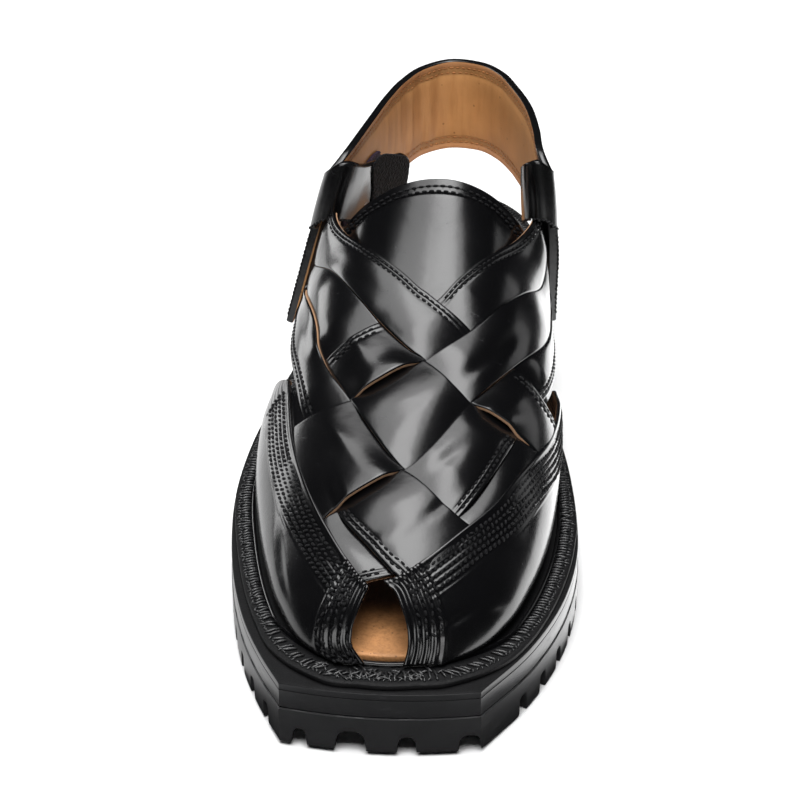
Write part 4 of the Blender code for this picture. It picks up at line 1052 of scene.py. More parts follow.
def side_notches(edge):
    """Distances along the outline of the side notches: even pitch between the corner lugs,
    none in the waist."""
    sides = edge[:TOE_FROM + 1]
    dist = lengths(sides)
    span = dist[-1] - sum(CORNER_LUGS)
    at = CORNER_LUGS[0] + np.linspace(0.0, span, int(round(span / SIDE_PITCH)) + 1)
    y = np.interp(at, dist, sides[:, 1])
    return at[(y < ARCH[0] - 4) | (y > ARCH[1] + 4)]


def tread_depth(at, inset, x, y, notches):
    """Depth of the tread over the floor side: side and toe notches, arched (1 - |q|^n)^m over
    their width and ending inwards, and the raised waist."""
    deep = np.zeros(np.broadcast(at, inset).shape)
    for middle in notches:
        arch = np.maximum(1 - (np.abs(at - middle) / NOTCH_HALF) ** 5, 0.0) ** 0.25
        deep = np.maximum(deep, TREAD_DEPTH * 0.92 * arch * (1 - ease(inset, 11.0, 13.0)))
    for middle, half, reach in TOE_NOTCHES:
        q = np.abs(x - middle) / (half + 0.5 * ease(y, -140, -150))
        arch = np.maximum(1 - q ** 3.2, 0.0) ** 0.4
        rise = (6.3 + 1.5 * (half > 4)) * arch * (1 - ease(y, -147 + reach - 1, -147 + reach + 2))
        deep = np.maximum(deep, rise * (y < -125))
    return np.maximum(deep, ARCH_RISE * waist(y))


def make_outsole_rim(finishes):
    """Ring of lugs: columns round the outline, each running down the side wall, in under the
    tread along the outline's inward normal, up again and back over the top."""
    edge = sole_outline()
    full = lengths(edge, True)
    notches = side_notches(edge)
    toe, toe_at = edge[TOE_FROM + 1:], full[TOE_FROM + 1:-1]
    order = np.argsort(toe[:, 0])
    sides = np.array([(m - h, m + h) for m, h, _ in TOE_NOTCHES]).ravel()
    cuts = np.r_[(notches[:, None] + np.array([-1, 1]) * NOTCH_HALF).ravel(),
                 np.interp(sides, toe[order, 0], toe_at[order])]
    fine = (cuts[:, None] + CUT_STEPS).ravel()
    at = np.unique(np.r_[np.arange(0, full[-1], 1.25), full[:-1:OUTLINE_STEPS], fine])
    at = at[np.r_[True, np.diff(at) > 0.05]]
    at = at[at < full[-1] - 0.05]
    plan = walk(edge, at, True)
    normal = walk(unit(outward(edge)), at, True, edge)

    def row(out, z):
        """Loop of points out from the outline, at the heights that z gives for them."""
        p = plan + normal * out
        return np.column_stack([p, z(p)])

    def under(p):
        """Height of the tread plus its depth, kept under the top face."""
        z = tread(p[:, 1]) + tread_depth(at, inset, p[:, 0], p[:, 1], notches)
        return np.minimum(z, outsole_top(p[:, 1]) - 1.5)

    bottoms = []
    for inset in TREAD_INSETS:
        bottoms.append(row(-inset, under))
    top = outsole_top(plan[:, 1])
    deep = top - bottoms[0][:, 2]
    wall = [row(out, lambda p: top - deep * share) for share, out in LUG_WALL]
    lid = [row(-inset, lambda p: outsole_top(p[:, 1])) for inset in (TREAD_INSETS[-1], 6.0)]
    bottoms[0][:, :2] = plan - normal * 0.3
    return stack_mesh("outsole_lugs", np.stack(wall + bottoms + lid, 1), None, finishes,
                      ring=True, sharp=32)


def make_outsole_tread(finishes):
    """Middle of the tread: a warped grid from the lateral to the medial side of the inset
    outline at each y, its underside cut by chevrons and raised at the waist."""
    edge = sole_outline(4)
    inner = edge - outward(edge) * MIDDLE_INSET
    turn = np.argmax(inner[:, 1])
    lateral, medial = inner[np.argmin(inner[:turn, 1]):turn + 1], inner[turn:]
    medial = medial[:np.argmin(medial[:, 1]) + 1][::-1]
    y0, y1 = max(lateral[0, 1], medial[0, 1]) + 0.2, inner[turn, 1] - 0.3
    s = np.linspace(0, 1, 230)
    y = y0 + (y1 - y0) * (s - 0.08 * np.sin(2 * math.pi * s) / math.pi)
    xl, xm = (np.interp(y, side[:, 1], side[:, 0])[:, None] for side in (lateral, medial))
    x = xl + (xm - xl) * np.linspace(0, 1, 44)
    yy = np.broadcast_to(y[:, None], x.shape)
    deep = ARCH_RISE * waist(yy)
    for place in CHEVRONS:
        half = 11.5 if place > 0 else 22.0
        off = yy - place - 12.0 * np.abs(x) / half + 5.0
        cut = (1 - ease(np.abs(off), 1.4, 2.2)) * (np.abs(x) < half + 2)
        deep = np.maximum(deep, TREAD_DEPTH * 0.8 * cut)
    low = np.stack([x, yy, tread(yy) + deep], -1)
    high = np.stack([x[:, ::-1], yy, outsole_top(yy) - 0.05], -1)
    return stack_mesh("outsole_middle", np.concatenate([low, high[:, ::6]], 1), None, finishes,
                      sharp=32)


WELT_SPREAD = 1.3  # how far the welt's flat margin runs past its threads
# Round ridge of the welt: share of the width from its middle, height.
WELT_RIDGE = ((-0.075, 0.0), (-0.06, 0.75), (-0.03, 1.15), (0.0, 1.3), (0.03, 1.15),
              (0.06, 0.75), (0.075, 0.0))


def welt_width(line):
    """Width of the welt: full, or what the sole leaves beside it."""
    sole = sole_outline(4)
    room = distance(line, np.vstack([sole, sole[:1]])) - WELT_EDGE
    return np.minimum(WELT_WIDTH, room)


def welt_share(line):
    """Place of the ridge across the welt: half way at the sides, at the foot by the peep."""
    return 0.5 - 0.44 * (1 - ease(line[:, 1], -131.0, -112.0))


def make_welt(finishes):
    """Ring round the foot line: a groove, a round ridge, and a flat margin for the threads."""
    line = foot_line(8)
    normal = outward(line)
    width = welt_width(line)
    ridge = welt_share(line)
    reach = (width + WELT_SPREAD) / width
    inside = np.full(len(line), -0.2)
    rows = [(inside, -WELT_THICK), (inside, 0.0), (ridge - 0.12, 0.0)]
    rows += [(ridge + d, z) for d, z in WELT_RIDGE]
    rows += [(ridge + 0.14, 0.0)] + [(ridge + (1 - ridge) * q, 0.0) for q in (0.4, 0.6, 0.8, 0.96)]
    rows += [(reach, -0.1), (reach + 0.02, -0.35), (reach + 0.02, -WELT_THICK)]
    marks = np.zeros(len(rows), int)
    marks[3:3 + len(WELT_RIDGE)] = 1
    stack = []
    for share, z in rows:
        plan = line + normal * (width * share)[:, None]
        stack.append(np.column_stack([plan, sole_top(plan[:, 1]) + GAP + WELT_THICK + z]))
    return stack_mesh("welt_strip", np.stack(stack, 1), marks, finishes, ring=True, sharp=60)


def welt_stitches():
    """Whipped bars across the welt, longer and leaning at the toe's corners, with a fringe of
    looser loops outside them, and crossed threads before the peep toe."""
    line = foot_line(8)
    rng = np.random.default_rng(11)
    at = np.arange(0, lengths(line, True)[-1] - 0.6, 1.35)
    count = len(at)
    plan = walk(line, at, True)
    n = walk(unit(outward(line)), at, True, line)
    w = walk(welt_width(line)[:, None], at, True, line)[:, 0]
    toe = 1 - ease(plan[:, 1], -128.0, -105.0)
    front = 1 - ease(plan[:, 1], -134.5, -131.5)
    share = 0.76 - 0.08 * toe - 0.05 * front
    lean = 0.12 + 0.5 * toe * np.sign(plan[:, 0]) + 0.16 * rng.standard_normal(count)
    lean = lean + front * rng.uniform(-1.0, 1.0, count)
    long = (3.5 + 1.2 * toe) * (1 + 0.1 * rng.standard_normal(count))
    tangent = np.stack([-n[:, 1], n[:, 0]], 1)

    def row(share, lean, long, rise, keep, radius):
        """Threads at a share of the width, turned from the outward way by lean."""
        p = plan + n * (w * share)[:, None]
        way = n * np.cos(lean)[:, None] + tangent * np.sin(lean)[:, None]
        middle = np.column_stack([p, sole_top(p[:, 1]) + GAP + WELT_THICK + rise])
        thick = radius * (1 + 0.1 * rng.standard_normal(count))
        up = np.tile([0.0, 0.0, 1.0], (count, 1))
        return [part[keep] for part in (middle, np.column_stack([way, np.zeros(count)]), up, long,
                                        thick)]

    rows = [row(share, lean, long, 0.28, (toe < 0.3) | (np.arange(count) % 3 != 1), 0.5)]
    fringe = rng.random(count) < 0.8
    rows.append(row(share + 0.22, rng.uniform(-1.4, 1.4, count), 1.2 + rng.random(count),
                    0.15, fringe & (w > 6), 0.36))
    for _ in range(2):
        rows.append(row(0.3 + 0.6 * rng.random(count), rng.uniform(-1.5, 1.5, count),
                        1.8 + 2.0 * rng.random(count), 0.35, front > 0.5, 0.38))
    return rows


# ---- finishes ----------------------------------------------------------------------------------
class Wire:
    """A number socket; adding and multiplying put Math nodes into its finish."""

    def __init__(self, finish, socket):
        self.finish = finish
        self.socket = socket

    def math(self, operation, *values):
        """The socket of a new Math node on the values."""
        node = self.finish.node("ShaderNodeMath", {"operation": operation},
                                dict(enumerate(values)))
        return Wire(self.finish, node.outputs[0])

    def __add__(self, other):
        return self.math("ADD", self, other)

    def __radd__(self, other):
        return self.math("ADD", other, self)

    def __mul__(self, other):
        return self.math("MULTIPLY", self, other)

    def __rmul__(self, other):
        return self.math("MULTIPLY", other, self)


class Finish:
    """One material: its shader, its object coordinates and short ways to add nodes."""

    def __init__(self, name, rough, **sockets):
        self.material = bpy.data.materials.new(name)
        self.material.use_nodes = True
        self.tree = self.material.node_tree
        self.tree.nodes.clear()
        self.shader = self.node("ShaderNodeBsdfPrincipled", {}, {
            "Roughness": rough, "Coat Roughness": 0.1, "IOR": 1.45,
            **{key.replace("_", " "): value for key, value in sockets.items()}})
        self.node("ShaderNodeOutputMaterial", {}, {"Surface": self.wire(self.shader)})
        self.place = self.wire(self.node("ShaderNodeTexCoord"), "Object")

    def node(self, kind, settings=None, sockets=None):
        """A node with its settings made and its sockets set or linked."""
        node = self.tree.nodes.new(kind)
        for key, value in (settings or {}).items():
            setattr(node, key, value)
        for key, value in (sockets or {}).items():
            if isinstance(value, Wire):
                self.tree.links.new(value.socket, node.inputs[key])
            else:
                node.inputs[key].default_value = value
        return node

    def wire(self, node, output=0):
        """One output of a node."""
        return Wire(self, node.outputs[output])

    def noise(self, size_mm, detail=2.0, rough=0.5, stretch=(1.0, 1.0, 1.0)):
        """Noise whose features are size_mm across, drawn out by stretch."""
        scaled = self.node("ShaderNodeVectorMath", {"operation": "MULTIPLY"},
                           {0: self.place, 1: tuple(1.0 / s for s in stretch)})
        return self.wire(self.node("ShaderNodeTexNoise", {}, {
            "Vector": self.wire(scaled), "Scale": 1000.0 / size_mm, "Detail": detail,
            "Roughness": rough}))

    def cells(self, size_mm):
        """Distance to the nearest of scattered points size_mm apart."""
        return self.wire(self.node("ShaderNodeTexVoronoi", {}, {
            "Vector": self.place, "Scale": 1000.0 / size_mm}), "Distance")

    def along(self, axis):
        """One of the object coordinates, in metres."""
        return self.wire(self.node("ShaderNodeSeparateXYZ", {}, {"Vector": self.place}), axis)

    def number(self, name):
        """A value stored on the mesh."""
        return self.wire(self.node("ShaderNodeAttribute", {"attribute_name": name}), "Fac")

    def rise(self, value, low, high):
        """0 at low to 1 at high, eased."""
        return self.wire(self.node("ShaderNodeMapRange", {"interpolation_type": "SMOOTHSTEP"}, {
            "Value": value, "From Min": low, "From Max": high}))

    def mix(self, share, one, two):
        """Colour from one to two by share."""
        return self.wire(self.node("ShaderNodeMix", {"data_type": "RGBA"},
                                   {0: share, 6: one, 7: two}), 2)

    def relief(self, *layers):
        """Bumps of (height, millimetres) layers, each over the one before it."""
        under = {}
        for height, millimetres in layers:
            under = {"Normal": self.wire(self.node("ShaderNodeBump", {}, {
                "Height": height, "Distance": millimetres * MM, "Strength": 1.0, **under}))}
        return under["Normal"]

    def done(self, tone, normal, rough=None):
        """The material with its colour, bumps and varying roughness linked to the shader."""
        for key, value in (("Base Color", tone), ("Roughness", rough), ("Normal", normal)):
            if value:
                self.tree.links.new(value.socket, self.shader.inputs[key])
        return self.material


def shade(colour, *factors):
    """A colour made darker or lighter by a factor, or by one for each of its three values."""
    return tuple(min(1.0, c * f) for c, f in zip(colour, factors * 3)) + (1.0,)


def polished_leather(name, colour, rough):
    """Polished black leather: fine pores, hairline creases, a cloudy polish and dull scuffs."""
    f = Finish(name, rough, Coat_Weight=0.30, Coat_Roughness=0.17)
    pores = f.cells(0.55)
    hair = f.noise(2.2, 4.0, 0.62, (1.0, 0.55, 1.0))
    soft = f.noise(9.0, 3.0, 0.5)
    cloud = f.noise(26.0, 3.0, 0.55)
    scuff = f.rise(f.noise(5.0, 5.0, 0.7, (2.5, 1.0, 1.0)), 0.60, 0.74)
    tone = f.mix(cloud, shade(colour, 0.65), shade(colour, 1.5))
    tone = f.mix(scuff * 0.35, tone, shade(colour, 3.0))
    return f.done(tone, f.relief((soft, 0.13), (hair, 0.010), (pores, 0.006)),
                  rough - 0.05 + cloud * 0.10 + scuff * 0.10)


def raw_leather(name, colour, rough):
    """Vegetable tanned lining: warm mottling, darker grease, fine fibre and small dark spots."""
    f = Finish(name, rough)
    mottle = f.noise(14.0, 4.0, 0.6)
    fibre = f.noise(0.7, 3.0, 0.6)
    spots = f.rise(f.cells(5.5), 0.10, 0.04)
    tone = f.mix(mottle, shade(colour, 0.72), shade(colour, 1.22))
    tone = f.mix(f.rise(fibre, 0.35, 0.75) * 0.35, tone, shade(colour, 0.6))
    tone = f.mix(spots * 0.5, tone, shade(colour, 0.25))
    return f.done(tone, f.relief((mottle, 0.25), (fibre, 0.06)), rough - 0.08 + fibre * 0.2)


def strap_lining(name, colour, rough):
    """Tan strap lining: a pinkish margin outside the seams, a darker seam groove, faint brown
    streaks down the heel's folds and near-black painted shade in the folds round the ears."""
    f = Finish(name, rough, IOR=1.35)
    deep, run, dyed = (f.number(key) for key in ("edge_mm", "run_mm", "dyed"))
    mottle = f.noise(12.0, 4.0, 0.6)
    fibre = f.noise(0.6, 3.0, 0.6)
    streak = f.noise(3.2, 3.0, 0.55, (1.0, 1.0, 7.0))
    back = f.rise(run, 84.0, 108.0) * f.rise(run, 188.0, 166.0)
    groove = f.rise(deep, 2.0, 2.8) * f.rise(deep, 6.2, 5.2)
    tone = f.mix(mottle, shade(colour, 0.80), shade(colour, 1.18))
    tone = f.mix(f.rise(streak, 0.42, 0.72) * back * 0.35, tone, shade(colour, 0.62, 0.52, 0.45))
    tone = f.mix(f.rise(deep, 3.0, 2.2) * 0.8, tone, shade(colour, 0.95, 0.92, 1.1))
    tone = f.mix(groove * 0.5, tone, shade(colour, 0.35))
    tone = f.mix(f.rise(f.cells(7.0), 0.085, 0.04) * 0.6, tone, shade(colour, 0.2))
    # Painted shade: the lining goes near black inside the strap's folds round the ears.
    tone = f.mix(dyed, tone, (0.006, 0.006, 0.007, 1.0))
    return f.done(tone, f.relief((streak, 0.3), (fibre, 0.05)), rough - 0.06 + fibre * 0.14)


def footbed_leather(name, colour, rough):
    """Worn footbed: orange tan with specks, dark cracks and a painted shadow under the upper."""
    f = Finish(name, rough)
    mottle = f.noise(9.0, 5.0, 0.62)
    grain = f.noise(1.1, 4.0, 0.65)
    crack = f.rise(f.noise(3.2, 5.0, 0.75, (1.6, 0.6, 1.0)), 0.635, 0.70)
    specks = f.rise(f.cells(3.4), 0.13, 0.06)
    tone = f.mix(f.rise(mottle, 0.3, 0.7), shade(colour, 0.68), shade(colour, 1.15))
    tone = f.mix(f.rise(grain, 0.42, 0.66) * 0.55, tone, shade(colour, 0.55))
    tone = f.mix(specks * 0.7, tone, shade(colour, 0.18))
    tone = f.mix(crack * 0.8, tone, shade(colour, 0.07))
    # Painted shadow of the upper: near black from y -104 to -80 mm, fading out by -127 and -45 mm.
    upper_shadow = f.rise(f.along("Y"), -0.127, -0.104) * f.rise(f.along("Y"), -0.045, -0.080)
    tone = f.mix(upper_shadow * 0.93, tone, shade(colour, 0.04))
    return f.done(tone, f.relief((mottle, 0.4), (grain, 0.12)), rough - 0.08 + grain * 0.2)


def waxed_thread(name, colour, rough, ior=1.25):
    """Waxed thread: fine twist and fuzz."""
    f = Finish(name, rough, IOR=ior)
    twist = f.noise(0.35, 2.0, 0.6, (1.0, 1.0, 2.5))
    tone = f.mix(twist, shade(colour, 0.5), shade(colour, 2.4))
    return f.done(tone, rough=rough - 0.1 + twist * 0.2, normal=f.relief((twist, 0.12)))


def glossy_thread(name, colour, rough):
    """Thread with its wax rubbed to a shine."""
    return waxed_thread(name, colour, rough, ior=1.75)


def moulded_rubber(name, colour, rough):
    """Satin moulded rubber: fine pebble, cloudy bloom and pale smears."""
    f = Finish(name, rough)
    bloom = f.noise(18.0, 4.0, 0.6)
    pebble = f.noise(0.5, 2.0, 0.5)
    smear = f.rise(f.noise(6.0, 5.0, 0.7, (2.0, 2.0, 0.7)), 0.58, 0.72)
    tone = f.mix(bloom, shade(colour, 0.75), shade(colour, 1.35))
    tone = f.mix(smear * 0.35, tone, shade(colour, 2.6))
    return f.done(tone, f.relief((pebble, 0.03)), rough - 0.08 + bloom * 0.16 + smear * 0.1)


def matt_welt(name, colour, rough):
    """Dull black welt leather, rough between its threads."""
    f = Finish(name, rough, IOR=1.3)
    grain = f.noise(0.9, 4.0, 0.7)
    patch = f.noise(6.0, 3.0, 0.6)
    tone = f.mix(patch, shade(colour, 0.6), shade(colour, 1.8))
    return f.done(tone, f.relief((grain, 0.22)), rough - 0.15 + grain * 0.3)


def fuzzy_tape(name, colour, rough):
    """Hook and loop tape: rows of tiny tufts with a purple cast."""
    f = Finish(name, rough, IOR=1.2, Sheen_Weight=0.04)
    tufts = f.cells(0.8)
    fluff = f.noise(2.4, 4.0, 0.7)
    tone = f.mix(fluff, shade(colour, 0.5), shade(colour, 2.6))
    tone = f.mix(f.rise(tufts, 0.2, 0.6) * 0.5, tone, shade(colour, 0.3))
    return f.done(tone, f.relief((tufts, 0.5), (fluff, 0.5)), rough - 0.05 + fluff * 0.08)


def studio_floor(name, colour, rough):
    """Plain pale floor with the faintest mottling."""
    f = Finish(name, rough, IOR=1.3)
    cloud = f.noise(400.0, 2.0, 0.5)
    tone = f.mix(cloud, shade(colour, 0.985), shade(colour, 1.0))
    return f.done(tone, f.relief((cloud, 0.02)))


# Each finish: its maker, the colour it takes and its roughness.
FINISHES = {
    "upper_black": (polished_leather, "leather", 0.21),
    "strap_black": (polished_leather, "leather", 0.24),
    "raw_tan": (raw_leather, "raw_edge", 0.6),
    "lining_tan": (strap_lining, "lining", 0.66),
    "footbed_tan": (footbed_leather, "footbed", 0.55),
    "thread_black": (waxed_thread, "thread", 0.5),
    "thread_glossy": (glossy_thread, "thread", 0.32),
    "thread_brown": (waxed_thread, "seam_thread", 0.5),
    "rubber_sole": (moulded_rubber, "rubber", 0.42),
    "rubber_midsole": (moulded_rubber, "rubber", 0.34),
    "rubber_top": (matt_welt, "welt", 0.6),
    "welt_black": (matt_welt, "welt", 0.55),
    "tape_black": (fuzzy_tape, "tape", 0.9),
    "tape_purple": (fuzzy_tape, "loop_tape", 0.9),
    "floor_white": (studio_floor, "floor", 0.6),
}
UPPER_FINISHES = ("upper_black", "raw_tan")


def finish(name):
    """The material of that name, made on first use."""
    known = bpy.data.materials.get(name)
    if known:
        return known
    maker, colour, rough = FINISHES[name]
    return maker(name, getattr(bpy.context.scene.chappal_colours, colour), rough)


def finishes(*names):
    """The materials of those names."""
    return [finish(name) for name in names]


# ---- settings ----------------------------------------------------------------------------------
def colour(label, text, value):
    """A colour setting."""
    return bpy.props.FloatVectorProperty(name=label, description=text, subtype="COLOR", size=3,
                                         min=0.0, max=1.0, default=value)


def number(label, text, value):
    """A plain number of 0 or more."""
    return bpy.props.FloatProperty(name=label, description=text, default=value, min=0.0)


def millimetres(label, text, value):
    """A small size in millimetres."""
    return bpy.props.FloatProperty(name=label, description=text + ", in millimetres",
                                   default=value, min=0.01)


def watts(label, text, value):
    """The power of a light."""
    return bpy.props.FloatProperty(name=label, description=text, unit="POWER", default=value,
                                   min=0.0)


def metres(label, text, value):
    """A distance, shown in the scene's unit."""
    return bpy.props.FloatProperty(name=label, description=text, subtype="DISTANCE",
                                   unit="LENGTH", precision=5, default=value)


def degrees(label, text, value):
    """An angle given in degrees."""
    return bpy.props.FloatProperty(name=label, description=text, subtype="ANGLE",
                                   default=math.radians(value))


class ChappalSizes(bpy.types.PropertyGroup):
    """Sizes of the upper's soft forms and stitches, in millimetres."""
    crown: millimetres("Crown", "Rise of a woven strip's middle over its edges", 0.85)
    curl: number("Curl", "Scale of the curled tan edges", 1.0)
    crease: number("Creases", "Scale of the troughs and ridges of the upper", 1.5)
    wrinkle: number("Wrinkles", "Scale of the heel strap's wrinkles", 1.0)
    pleat: millimetres("Pleats", "Half height of the pleats by the peep toe", 0.26)
    stitch_pitch: millimetres("Stitch pitch", "From one stitch to the next", 2.55)
    stitch_thick: millimetres("Stitch thickness", "Half thickness of a stitch", 0.42)


class ChappalColours(bpy.types.PropertyGroup):
    """Colours of the leather, lining, thread and rubber."""
    leather: colour("Leather", "Polished black leather", (0.0018, 0.0018, 0.0021))
    welt: colour("Welt", "Matt black welt leather", (0.0026, 0.0026, 0.0029))
    lining: colour("Lining", "Tan lining and raw edges", (0.43, 0.215, 0.078))
    raw_edge: colour("Raw edge", "Raw leather of the strips' edges and backs",
                     (0.46, 0.27, 0.155))
    footbed: colour("Footbed", "Worn tan of the insole", (0.42, 0.20, 0.078))
    thread: colour("Thread", "Waxed black thread", (0.005, 0.005, 0.0055))
    seam_thread: colour("Lining thread", "Brown thread on the lining", (0.20, 0.085, 0.03))
    rubber: colour("Rubber", "Moulded rubber of the sole", (0.016, 0.016, 0.017))
    tape: colour("Hook tape", "Black hook tape", (0.006, 0.006, 0.007))
    loop_tape: colour("Loop tape", "Dark purple loop tape", (0.022, 0.013, 0.025))
    floor: colour("Floor", "Studio floor", (0.90, 0.90, 0.90))


class ChappalStage(bpy.types.PropertyGroup):
    """Camera and the power of each light."""
    distance: metres("Camera distance", "From the camera to the shoe", 1.0)
    lens: bpy.props.FloatProperty(name="Lens", description="Focal length in millimetres",
                                  unit="CAMERA", default=128.0, min=20.0)
    elevation: degrees("Elevation", "Camera angle over the floor", 35.0)
    azimuth: degrees("Azimuth", "Camera turn towards the inside", 5.0)
    overhead: watts("Overhead", "Power of the wide box over the shoe", 15.5)
    key: watts("Key", "Power of the narrower box over its middle", 4.8)
    left: watts("Left", "Power of the low box behind the outer side", 3.4)
    right: watts("Right", "Power of the low box behind the inner side", 0.5)
    low_left: watts("Low left", "Power of the outer side's glow from the floor", 0.95)
    low_right: watts("Low right", "Power of the inner side's glow from the floor", 0.8)
    fill: watts("Fill", "Power of the box that lights the colours and leaves no glints", 18.0)
    front: watts("Front", "Power of the box that glints in the toe", 7.0)


def settle(piece, slot, *nodes):
    """Ties a finished piece to the frame and hides the CAD nodes it stands for; slot is not used.
    """
    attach(piece, "root")
    if nodes:
        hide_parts(*nodes)


def sew(name, rows, thread="thread_black", slot="black_thread"):
    """Adds stitch rows as one piece."""
    settle(stitch_mesh(name, rows, finish(thread)), slot)


# ---- operators ---------------------------------------------------------------------------------
class CHAPPAL_OT_sole(bpy.types.Operator):
    """Build the lugged outsole and the midsole"""
    bl_idname = "chappal.sole"
    bl_label = "Sole"

    def execute(self, context):
        rubber = finishes("rubber_sole")
        settle(make_outsole_rim(rubber), "sole_rubber", "outsole")
        settle(make_outsole_tread(rubber), "sole_rubber", "outsole")
        settle(make_midsole(finishes("rubber_midsole", "rubber_top")), "midsole_rubber", "midsole")
        return {"FINISHED"}


class CHAPPAL_OT_welt(bpy.types.Operator):
    """Build the welt with its whipped threads"""
    bl_idname = "chappal.welt"
    bl_label = "Welt"

    def execute(self, context):
        settle(make_welt(finishes("welt_black", "upper_black")), "welt_leather", "welt")
        sew("welt_threads", welt_stitches(), "thread_glossy")
        return {"FINISHED"}


class CHAPPAL_OT_insole(bpy.types.Operator):
    """Build the insole"""
    bl_idname = "chappal.insole"
    bl_label = "Insole"

    def execute(self, context):
        settle(make_insole(finishes("footbed_tan")), "insole_leather", "insole")
        return {"FINISHED"}


class CHAPPAL_OT_weave(bpy.types.Operator):
    """Build the six woven strips with their stitching"""
    bl_idname = "chappal.weave"
    bl_label = "Woven strips"

    def execute(self, context):
        rows = []
        for name in STRIPS:
            settle(make_strip(name, finishes(*UPPER_FINISHES)), "upper_leather", "upper")
            rows += strip_stitches(name)
        sew("strip_threads", rows)
        return {"FINISHED"}


class CHAPPAL_OT_wings(bpy.types.Operator):
    """Build the side wings and ears with their stitching"""
    bl_idname = "chappal.wings"
    bl_label = "Wings"

    def execute(self, context):
        rows = []
        for name, wing in (("wing_lateral", LATERAL_WING), ("wing_medial", MEDIAL_WING)):
            settle(make_wing(name, wing, finishes(*UPPER_FINISHES)), "upper_leather", "upper")
            rows += wing_stitches(wing)
        for name, pairs in EARS.items():
            settle(make_ear(name, pairs, finishes(*UPPER_FINISHES)), "upper_leather", "upper")
        sew("wing_threads", rows)
        return {"FINISHED"}


class CHAPPAL_OT_tongue(bpy.types.Operator):
    """Build the tongue with its stitching"""
    bl_idname = "chappal.tongue"
    bl_label = "Tongue"

    def execute(self, context):
        settle(make_tongue(finishes(*UPPER_FINISHES)), "upper_leather", "tongue")
        sew("tongue_threads", tongue_stitches())
        return {"FINISHED"}


class CHAPPAL_OT_heel_strap(bpy.types.Operator):
    """Build the lined heel strap, its seams and its fastening tapes"""
    bl_idname = "chappal.heel_strap"
    bl_label = "Heel strap"

    def execute(self, context):
        settle(make_strap(finishes("strap_black", "lining_tan")), "strap_leather", "heel_strap")
        sew("strap_outer_threads", strap_seams(False) + strap_lips())
        sew("strap_lining_threads", strap_seams(True), "thread_brown", "tan_lining")
        hook = strap_patch("hook_tape", HOOK_TAPE, -1, 0.7, 0.12, finishes("tape_black"))
        settle(hook, "hook_and_loop")
        loop = strap_patch("loop_tape", LOOP_TAPE, 1, 1.3, 0.35, finishes("tape_purple"))
        settle(loop, "hook_and_loop", "fastening_pad")
        return {"FINISHED"}


# Soft boxes: name, place, the point that each faces, size, in metres, and what it leaves unlit.
LIGHTS = (
    ("overhead", (-0.11, 0.06, 1.25), (-0.11, 0.0, 0.05), (0.96, 1.4), ()),
    ("key", (0.0, -0.05, 1.15), (0.0, 0.0, 0.05), (0.36, 0.9), ()),
    ("left", (-1.1, 0.70, 0.22), (0.0, 0.0, 0.03), (0.6, 0.42), ()),
    ("right", (1.15, 0.7, 0.36), (0.0, 0.0, 0.03), (0.35, 0.5), ()),
    ("low_left", (-0.25, 0.10, 0.001), (-0.25, 0.10, 1.0), (0.40, 0.60), ("diffuse", "camera")),
    ("low_right", (0.14, 0.04, 0.001), (0.14, 0.04, 1.0), (0.16, 0.50), ("diffuse", "camera")),
    ("fill", (0.0, -0.65, 1.3), (0.0, 0.0, 0.05), (0.9, 0.5), ("glossy",)),
    ("front", (0.1, -1.6, 0.5), (0.0, 0.0, 0.05), (1.2, 0.5), ("diffuse",)),
)
SKY = ((0.92, 0.95, 1.0, 1.0), 0.02)  # colour and strength of the world's light
AIM = (-3.4, -17.4, 45.0)  # what the camera looks at, millimetres
SENSOR = 36.0  # width of the camera's, millimetres
FLOOR_HALF = 6000.0  # half the floor's side
FLOOR_LOW = -0.15  # the floor's top, just under the lugs


def aim(thing, place, target):
    """Links an object at place, turned to face target."""
    thing.location = place
    way = Vector(target) - Vector(place)
    thing.rotation_euler = way.to_track_quat("-Z", "Y").to_euler()
    bpy.context.scene.collection.objects.link(thing)


def add_light(name, place, target, extent, hidden, power):
    """Rectangular soft light at place, turned to face target, in metres."""
    data = bpy.data.lights.new(name, "AREA")
    data.shape = "RECTANGLE"
    data.size, data.size_y = extent
    data.energy = power
    lamp = bpy.data.objects.new(name, data)
    for rays in hidden:
        setattr(lamp, "visible_" + rays, False)
    aim(lamp, place, target)


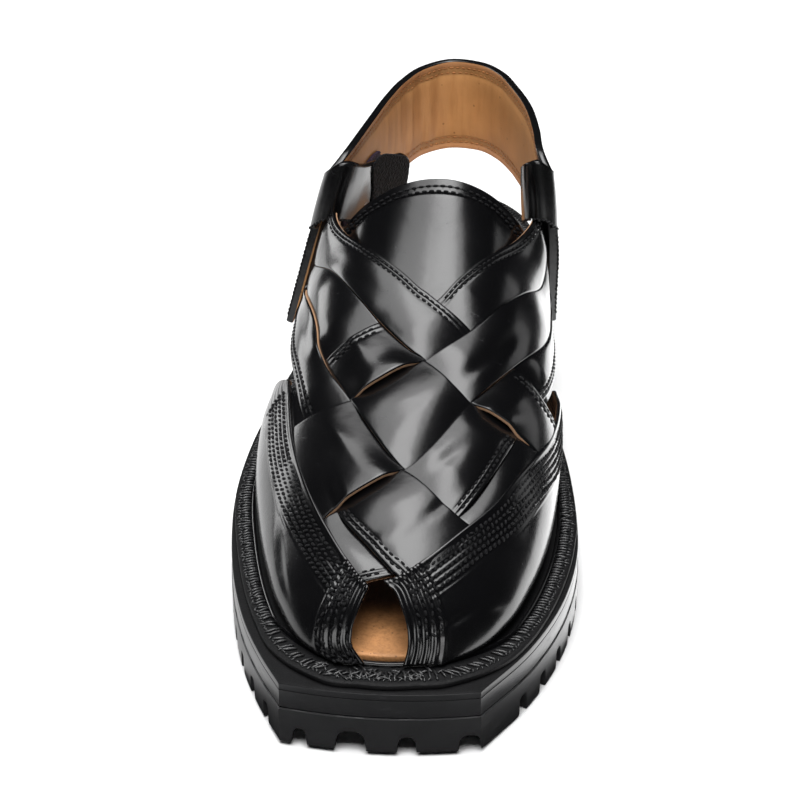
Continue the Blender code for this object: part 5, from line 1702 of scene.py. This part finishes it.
class CHAPPAL_OT_stage(bpy.types.Operator):
    """Set the floor, the soft lights and the camera"""
    bl_idname = "chappal.stage"
    bl_label = "Stage"

    def execute(self, context):
        scene = context.scene
        stage = scene.chappal_stage
        s = np.linspace(-1, 1, 41) * FLOOR_HALF
        x, y = np.meshgrid(s, s, indexing="ij")
        grid = np.stack([x, y, np.full(x.shape, FLOOR_LOW)], -1).reshape(-1, 3)
        i = np.arange(x.size).reshape(x.shape)
        quads = np.stack([i[:-1, :-1], i[1:, :-1], i[1:, 1:], i[:-1, 1:]], -1).reshape(-1, 4)
        floor = put_mesh("floor", grid, quads.tolist(), None, finishes("floor_white"))
        floor.visible_glossy = False
        scene.world = bpy.data.worlds.new("studio")
        scene.world.use_nodes = True
        back = scene.world.node_tree.nodes["Background"]
        back.inputs["Color"].default_value, back.inputs["Strength"].default_value = SKY
        for light in LIGHTS:
            add_light(*light, getattr(stage, light[0]))
        data = bpy.data.cameras.new("camera")
        data.sensor_width = SENSOR
        data.lens = stage.lens
        camera = bpy.data.objects.new("camera", data)
        target = Vector(AIM) * MM
        level_out = math.cos(stage.elevation) * stage.distance
        aim(camera, target + Vector((math.sin(stage.azimuth) * level_out,
                                     -math.cos(stage.azimuth) * level_out,
                                     math.sin(stage.elevation) * stage.distance)), target)
        scene.camera = camera
        scene.view_settings.view_transform = "Standard"
        return {"FINISHED"}


OPERATORS = (CHAPPAL_OT_sole, CHAPPAL_OT_welt, CHAPPAL_OT_insole, CHAPPAL_OT_weave,
             CHAPPAL_OT_wings, CHAPPAL_OT_tongue, CHAPPAL_OT_heel_strap, CHAPPAL_OT_stage)


class CHAPPAL_PT_panel(bpy.types.Panel):
    """Lists the chappal's settings and pieces"""
    bl_idname = "CHAPPAL_PT_panel"
    bl_label = "Chappal"
    bl_space_type = "VIEW_3D"
    bl_region_type = "UI"
    bl_category = "Chappal"

    def draw(self, context):
        for name, group in SETTINGS.items():
            for key in group.__annotations__:
                self.layout.prop(getattr(context.scene, name), key)
        for operator in OPERATORS:
            self.layout.operator(operator.bl_idname)


SETTINGS = {"chappal_sizes": ChappalSizes, "chappal_colours": ChappalColours,
            "chappal_stage": ChappalStage}
CLASSES = (*SETTINGS.values(), *OPERATORS, CHAPPAL_PT_panel)


def register():
    """Registers the classes and the scene's settings."""
    for cls in CLASSES:
        bpy.utils.register_class(cls)
    for name, group in SETTINGS.items():
        setattr(bpy.types.Scene, name, bpy.props.PointerProperty(type=group))


def unregister():
    """Takes the settings and the classes away."""
    for name in SETTINGS:
        delattr(bpy.types.Scene, name)
    for cls in reversed(CLASSES):
        bpy.utils.unregister_class(cls)


def main():
    """Builds every piece and the stage."""
    register()
    for operator in OPERATORS:
        getattr(bpy.ops.chappal, operator.bl_idname.split(".")[1])()


if __name__ == "__main__":
    main()
